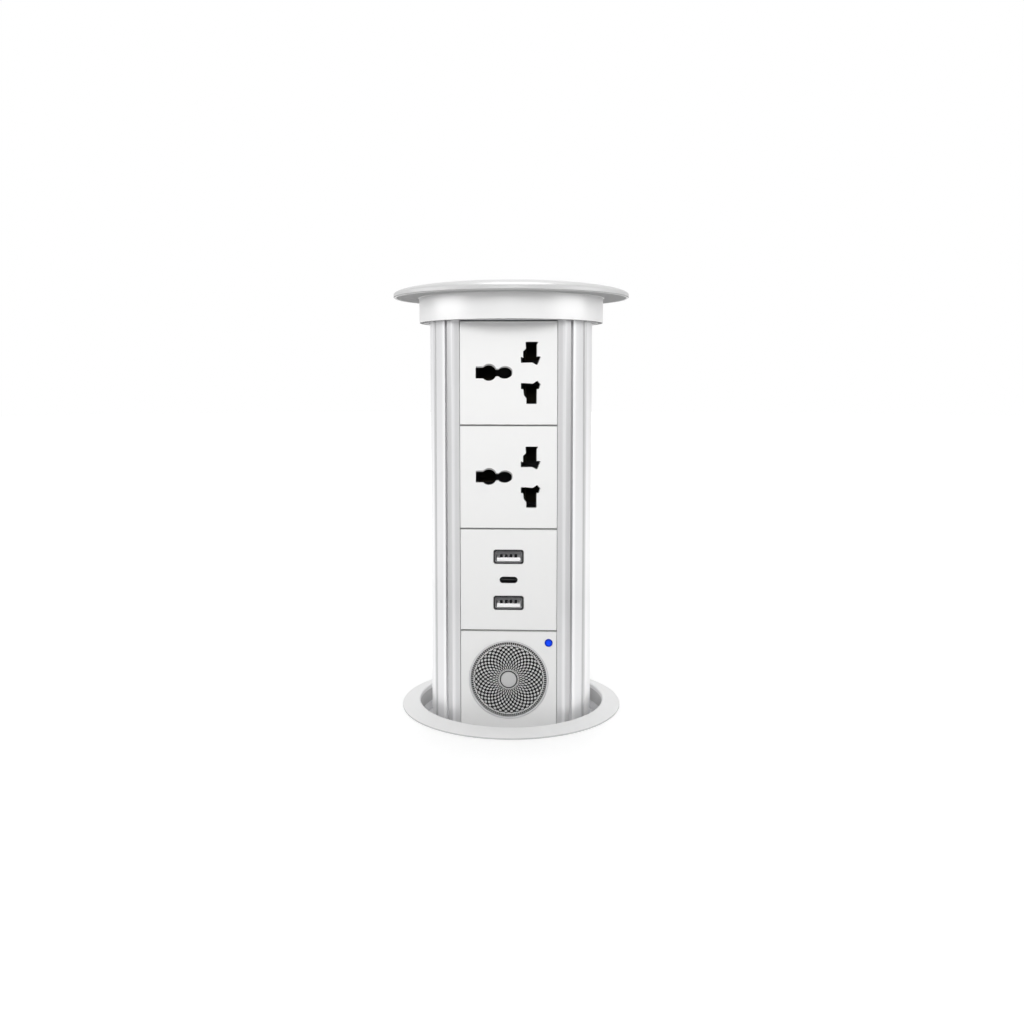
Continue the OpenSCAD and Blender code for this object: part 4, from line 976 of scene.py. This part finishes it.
trim = turned("grille_trim", [
    (TRIM_IN_R, TRIM_LOW, 0),
    (TRIM_OUT_R, TRIM_LOW, 0),
    (TRIM_OUT_R, TRIM_TOP, 0.3),
    (TRIM_IN_R + 0.25, TRIM_TOP, 0.2),
    (TRIM_IN_R, TRIM_TOP - 0.4, 0.1),
])
facing_front(trim, 0, GRILLE_Z)
polished = surface("polished_trim", (0.7, 0.7, 0.71), 0.4, metallic=0.25, grain=2000, tone=0.03, relief=0.02)
fit(trim, polished, "tower", "trim_silver", "grille_ring")

# Speaker: a black basket with a rubber surround, a coated paper cone and a ferrite magnet,
# behind the grille.
rubber = surface("rubber_black", (0.03, 0.03, 0.03), 0.65, grain=1600, tone=0.2, relief=0.12)
basket_black = surface("basket_black", (0.03, 0.03, 0.032), 0.5, grain=1200, tone=0.2, relief=0.1)
cone_paper = surface("cone_paper", (0.015, 0.015, 0.016), 0.8, grain=1600, tone=0.3, relief=0.3)
ferrite = surface("ferrite", (0.15, 0.15, 0.16), 0.6, metallic=0.2, grain=900, tone=0.2, relief=0.2)
dress(basket_black, "speaker_basket")
dress(rubber, "speaker_surround")
dress(cone_paper, "speaker_cone")
dress(ferrite, "speaker_magnet")

# Status light: a clear blue lens pressed into the panel from behind, with the lamp behind it.
# The lens is brightest in its middle.
LENS_R, LENS_TOP = 1.95, 30.8
SHOULDER_R, SHOULDER_LOW, SHOULDER_TOP = 2.35, 26.05, 27.05
LENS_GLOW_COLOUR = (0.0, 0.06, 1.0, 1)
LENS_GLOW_MIDDLE, LENS_GLOW_EDGE = 0.85, 0.12
LENS_GLOW_R = 0.9
lens = turned("status_lens_dome", [
    (0, SHOULDER_LOW, 0),
    (SHOULDER_R, SHOULDER_LOW, 0.1),
    (SHOULDER_R, SHOULDER_TOP, 0.1),
    (LENS_R, SHOULDER_TOP, 0),
    (LENS_R, LENS_TOP - 0.35, 0.25),
    (1.2, LENS_TOP - 0.08, 0.6),
    (0, LENS_TOP, 0),
], steps=64, closed=False)
facing_front(lens, LENS_X, LENS_Z)
lens_blue = surface("lens_blue", (0.0, 0.01, 0.12), 0.15, specular=0.15, grain=1200, tone=0.1, relief=0.02)
tree = lens_blue.node_tree
out = out_from(tree, LENS_X, LENS_Z)
fade = graded(tree, out, LENS_GLOW_R * MM, LENS_R * MM, LENS_GLOW_MIDDLE, LENS_GLOW_EDGE)
shader = tree.nodes["Principled BSDF"]
shader.inputs["Emission Color"].default_value = LENS_GLOW_COLOUR
tree.links.new(fade, shader.inputs["Emission Strength"])
fit(lens, lens_blue, "tower", "lens_blue", "status_lens")
led_clear = surface("led_clear", (0.75, 0.8, 0.9), 0.15, grain=1200, tone=0.05, relief=0.02)
dress(led_clear, "status_led")

# Lower end of the tower: a blank panel below the speaker, the bottom plate with its screws, stop
# bumper and cable gland, the terminal block and the three wires to the strips.
WIRE_COLOURS = {
    "live_wire": (0.2, 0.07, 0.03),
    "neutral_wire": (0.02, 0.1, 0.5),
    "earth_wire": (0.08, 0.35, 0.05),
}
nylon = surface("dark_nylon", (0.12, 0.12, 0.125), 0.5, grain=1100, tone=0.12, relief=0.12)
zinc = surface("zinc_plating", (0.6, 0.61, 0.63), 0.32, metallic=1.0, grain=600, tone=0.08, relief=0.06)
terminal_cream = surface("terminal_cream", (0.8, 0.78, 0.7), 0.45, grain=1500, tone=0.04, relief=0.08)
dress(panel_white, "lower_plate")
dress(nylon, "bottom_plate", "gland_body", "gland_locknut", "gland_nut")
dress(zinc, "bottom_screws")
dress(rubber, "stop_bumper", "gland_seal")
dress(terminal_cream, "terminal_block")
for wire, colour in WIRE_COLOURS.items():
    dress(surface(wire + "_cover", colour, 0.35, grain=1500, tone=0.1), wire)

# Flange: a shallow turned ring that lies on the desk round the cut-out, in pearl lacquer, with a
# rounded inner lip and a spigot that drops into the sleeve. A rubber gasket fills the groove below.
BORE_R = 47
SPIGOT_R = 48
SPIGOT_LOW = -6
GASKET_IN_R, GASKET_OUT_R = 50.3, 53.3
GASKET_T = 0.6
FLANGE_R = 56
FLANGE_EDGE = 0.8
FLANGE_TOP = 3
FLANGE_EDGE_PAINTED_SHADE = 0.7
flange = turned("flange", [
    (BORE_R, SPIGOT_LOW, 0.15),
    (SPIGOT_R, SPIGOT_LOW, 0.15),
    (SPIGOT_R, 0, 0),
    (GASKET_IN_R, 0, 0),
    (GASKET_IN_R, GASKET_T, 0),
    (GASKET_OUT_R, GASKET_T, 0),
    (GASKET_OUT_R, 0, 0),
    (FLANGE_R, 0, 0.2),
    (FLANGE_R, FLANGE_EDGE, 0.35),
    (BORE_R + 1.3, FLANGE_TOP - 0.17, 0.8),
    (BORE_R + 0.6, FLANGE_TOP, 0.3),
    (BORE_R, FLANGE_TOP - 0.4, 0.35),
], steps=256)
flange_pearl = surface(
    "flange_pearl", (0.86, 0.86, 0.86), 0.45, metallic=0.05, grain=2600, tone=0.03, relief=0.03,
)
tree = flange_pearl.node_tree
# Painted shade on the flange's outer edge, where it meets the desk.
edge = reckon(tree, "LESS_THAN", spot_on(tree)["Z"], (FLANGE_EDGE - 0.05) * MM)
shaded(flange_pearl, edge, FLANGE_EDGE_PAINTED_SHADE)
fit(flange, flange_pearl, "sleeve_unit", "lid_silver", "flange_ring")
dress(rubber, "flange_gasket")

# Sleeve: a moulded tube below the flange, with a coarse thread for the lock nut down its outside.
# Three set screws pass through its wall and hold the nylon guide ring.
SLEEVE_LOW = -72
HEAD_R, HEAD_LOW = 49.5, -11
WALL_R = 48.4
THREAD_PITCH = 4
THREAD_STEPS = 96
RIB_ROOT, RIB_CREST = 1.1, 0.4
SET_SCREW_ANGLES = (45, 135, 270)
SET_SCREW_R = 2.1


def thread_rib(name, root, crest, top, turns):
    """A rib that winds down a bore or a tube, between two radii in mm."""
    section = [(root, RIB_ROOT), (crest, RIB_CREST), (crest, -RIB_CREST), (root, -RIB_ROOT)]
    rib = draw_chain(name, [(r * MM, 0, (top + z) * MM) for r, z in section + section[:1]])
    bpy.ops.mesh.select_all(action="SELECT")
    bpy.ops.mesh.remove_doubles(threshold=MERGE_GAP)
    bpy.ops.object.mode_set(mode="OBJECT")
    shape_with(
        rib, "SCREW", axis="Z", angle=2 * math.pi, screw_offset=-THREAD_PITCH * MM, iterations=turns,
        steps=THREAD_STEPS, render_steps=THREAD_STEPS,
    )
    bpy.ops.object.mode_set(mode="EDIT")
    bpy.ops.mesh.select_all(action="SELECT")
    bpy.ops.mesh.fill_holes(sides=4)
    tidy_mesh()
    return rib


sleeve = turned("sleeve", [
    (BORE_R, SLEEVE_LOW, 0.3),
    (BORE_R, SPIGOT_LOW - 0.1, 0),
    (SPIGOT_R + 0.1, SPIGOT_LOW - 0.1, 0),
    (SPIGOT_R + 0.1, 0, 0.15),
    (HEAD_R, 0, 0.2),
    (HEAD_R, HEAD_LOW, 0.4),
    (WALL_R, HEAD_LOW - 0.6, 0.3),
    (WALL_R, SLEEVE_LOW, 0.5),
])
set_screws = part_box("guide_screws")
screw_level = (set_screws[0][2] + set_screws[1][2]) / 2 / MM
for angle in SET_SCREW_ANGLES:
    hole = rod("set_screw_cutter", 0, screw_level, SET_SCREW_R, front=-60, back=-40)
    hole.rotation_euler.z = math.radians(angle - 270)
    bpy.ops.object.transform_apply(location=False, rotation=True, scale=False)
    cut(sleeve, hole)
joined(sleeve, thread_rib("sleeve_thread", root=WALL_R - 0.1, crest=HEAD_R - 0.2, top=-13.5, turns=13))
smooth(sleeve)
sleeve_grey = surface("sleeve_grey", (0.87, 0.87, 0.88), 0.5, grain=1200, tone=0.06, relief=0.1)
fit(sleeve, sleeve_grey, "sleeve_unit", "sleeve_grey", "threaded_sleeve")
dress(nylon, "guide_ring")
dress(zinc, "guide_screws")

# Felt wiper and springs: the felt ring keeps dust out of the sleeve, and the bowed steel strips
# rub on the column and hold the tower at any height.
felt = surface("wiper_felt", (0.78, 0.78, 0.79), 0.9, grain=3000, tone=0.25, relief=0.6)
spring_steel = surface("spring_steel", (0.6, 0.6, 0.62), 0.28, metallic=1.0, grain=1500, stretch=(1, 1, 0.05))
dress(felt, "wiper_ring")
dress(spring_steel, "friction_springs")

# Clamp washer and lock nut: the zinc plated ring lies against the desk from below, and the nylon
# nut, with its hollows for the fingers, screws up the sleeve and clamps it.
NUT_R, NUT_BORE_R = 58.4, 49.8
WASHER_LOW, WASHER_TOP = -27, -25
NUT_LOW, NUT_H = -41.2, 14
BORE_LOW, BORE_H = -43, 18
HOLLOWS = 12
HOLLOW_R, HOLLOW_DEPTH, HOLLOW_EASE = 7, 3, 1.2
HOLLOW_OUT = NUT_R + HOLLOW_R - HOLLOW_DEPTH
HOLLOW_PARTS = 8
washer = turned("washer", [
    (NUT_BORE_R, WASHER_LOW, 0.3),
    (NUT_R, WASHER_LOW, 0.5),
    (NUT_R, WASHER_TOP, 0.5),
    (NUT_BORE_R, WASHER_TOP, 0.3),
])
fit(washer, zinc, "washer", "zinc_steel", "clamp_washer")

corner = (NUT_R**2 + HOLLOW_OUT**2 - HOLLOW_R**2) / (2 * NUT_R * HOLLOW_OUT)
edge_angle = math.degrees(math.acos(corner))
hollow_half = math.degrees(math.acos((HOLLOW_OUT - NUT_R * corner) / HOLLOW_R))
lobe = 360 / HOLLOWS - 2 * edge_angle
nut_outline = []
for i in range(HOLLOWS):
    middle = 360 / HOLLOWS * i
    centre = Vector(round_column(middle, HOLLOW_OUT))
    for step in range(HOLLOW_PARTS + 1):
        ease = HOLLOW_EASE if step in (0, HOLLOW_PARTS) else 0
        around = middle + 180 + hollow_half * (1 - 2 * step / HOLLOW_PARTS)
        nut_outline.append((*(centre + Vector(round_column(around, HOLLOW_R))), ease))
    nut_outline += bend(middle + edge_angle, middle + edge_angle + lobe, NUT_R, HOLLOW_PARTS)[1:-1]
nut = drawn(
    "nut",
    eased(nut_outline),
    lambda p: (p.x * MM, p.y * MM, NUT_LOW * MM),
    (0, 0, NUT_H * MM),
)
bore = drawn(
    "bore_cutter",
    eased(bend(0, 358, NUT_BORE_R, parts=179)),
    lambda p: (p.x * MM, p.y * MM, BORE_LOW * MM),
    (0, 0, BORE_H * MM),
)
cut(nut, bore)
soften(nut, width=0.7, parts=3)
joined(nut, thread_rib("nut_thread", root=NUT_BORE_R + 0.1, crest=NUT_BORE_R - 0.35, top=-30, turns=2))
smooth(nut)
fit(nut, nylon, "nut", "nylon_dark", "lock_nut")

# Lid and collar: the collar is a turned skirt screwed to the aluminium top plate, which is
# screwed to the column. The lid is a shallow dome over it, both in pearl lacquer.
COLLAR_R, COLLAR_IN_R = 46.2, 43.7
COLLAR_LOW = 195
COLLAR_SEAT_R, COLLAR_SEAT_LOW = 38.2, 204.7
HEM_TOP, HEM_PAINTED_SHADE = COLLAR_LOW + 0.04, 0.4
LID_R = 59
LID_LOW, LID_TOP = 207.2, 215
UNDERSIDE, UNDERSIDE_REACH, UNDERSIDE_PAINTED_SHADE = 207.5, 0.12, 0.72
LID_RIM_TOP = 208.9
DOME_PARTS = 24


def matt(finish, mask):
    """Takes the gloss off a finish where the mask is 1."""
    tree = finish.node_tree
    rough = tree.nodes["Principled BSDF"].inputs["Roughness"]
    tree.links.new(reckon(tree, "MAXIMUM", rough.links[0].from_socket, mask), rough)


plain_metal = surface(
    "plain_aluminium", (0.55, 0.55, 0.57), 0.4, metallic=1.0, grain=1200, stretch=(1, 0.05, 1), tone=0.06,
)
dress(plain_metal, "top_plate")
dress(zinc, "column_screws", "lid_screws")

collar = turned("collar", [
    (COLLAR_R, COLLAR_LOW, 0.3),
    (COLLAR_R, LID_LOW, 0),
    (COLLAR_SEAT_R, LID_LOW, 0),
    (COLLAR_SEAT_R, COLLAR_SEAT_LOW, 0),
    (COLLAR_IN_R, COLLAR_SEAT_LOW, 0.2),
    (COLLAR_IN_R, COLLAR_LOW, 0.3),
], steps=256)
pearl = surface("pearl_lacquer", (0.78, 0.78, 0.78), 0.33, metallic=0.35, grain=2600, tone=0.03, relief=0.03)
tree = pearl.node_tree
# Painted shade on the collar's underside, which is also made matt.
hem = reckon(tree, "LESS_THAN", spot_on(tree)["Z"], HEM_TOP * MM)
shaded(pearl, hem, HEM_PAINTED_SHADE)
matt(pearl, hem)
fit(collar, pearl, "tower", "lid_silver", "cap_collar")

dome = []
for i in range(1, DOME_PARTS):
    rise = math.pi / 2 * i / DOME_PARTS
    dome.append((LID_R * math.cos(rise), LID_RIM_TOP + (LID_TOP - LID_RIM_TOP) * math.sin(rise), 0))
lid = turned("lid", [
    (0, LID_LOW, 0),
    (46.4, LID_LOW, 0.1),
    (47.0, UNDERSIDE, 0.2),
    (LID_R - 1.5, UNDERSIDE, 0.2),
    (LID_R - 1.2, LID_LOW, 0.1),
    (LID_R - 0.5, LID_LOW, 0.25),
    (LID_R, LID_LOW + 0.5, 0.25),
    (LID_R, LID_RIM_TOP, 0),
    *dome,
    (0, LID_TOP, 0),
], steps=256, closed=False)
# The lid's pearl is a darker copy of the collar's pearl lacquer: painted shade over the dome.
lid_pearl = surface(
    "lid_pearl", (0.57, 0.57, 0.57), 0.34, metallic=0.08, grain=2600, tone=0.02, relief=0.0, gloss=0.02,
)
tree = lid_pearl.node_tree
# Painted shade on the lid's underside, which is also made matt.
below = reckon(tree, "COMPARE", spot_on(tree)["Z"], UNDERSIDE * MM, UNDERSIDE_REACH * MM)
shaded(lid_pearl, below, UNDERSIDE_PAINTED_SHADE)
matt(lid_pearl, below)
fit(lid, lid_pearl, "tower", "lid_silver", "cap_disc")
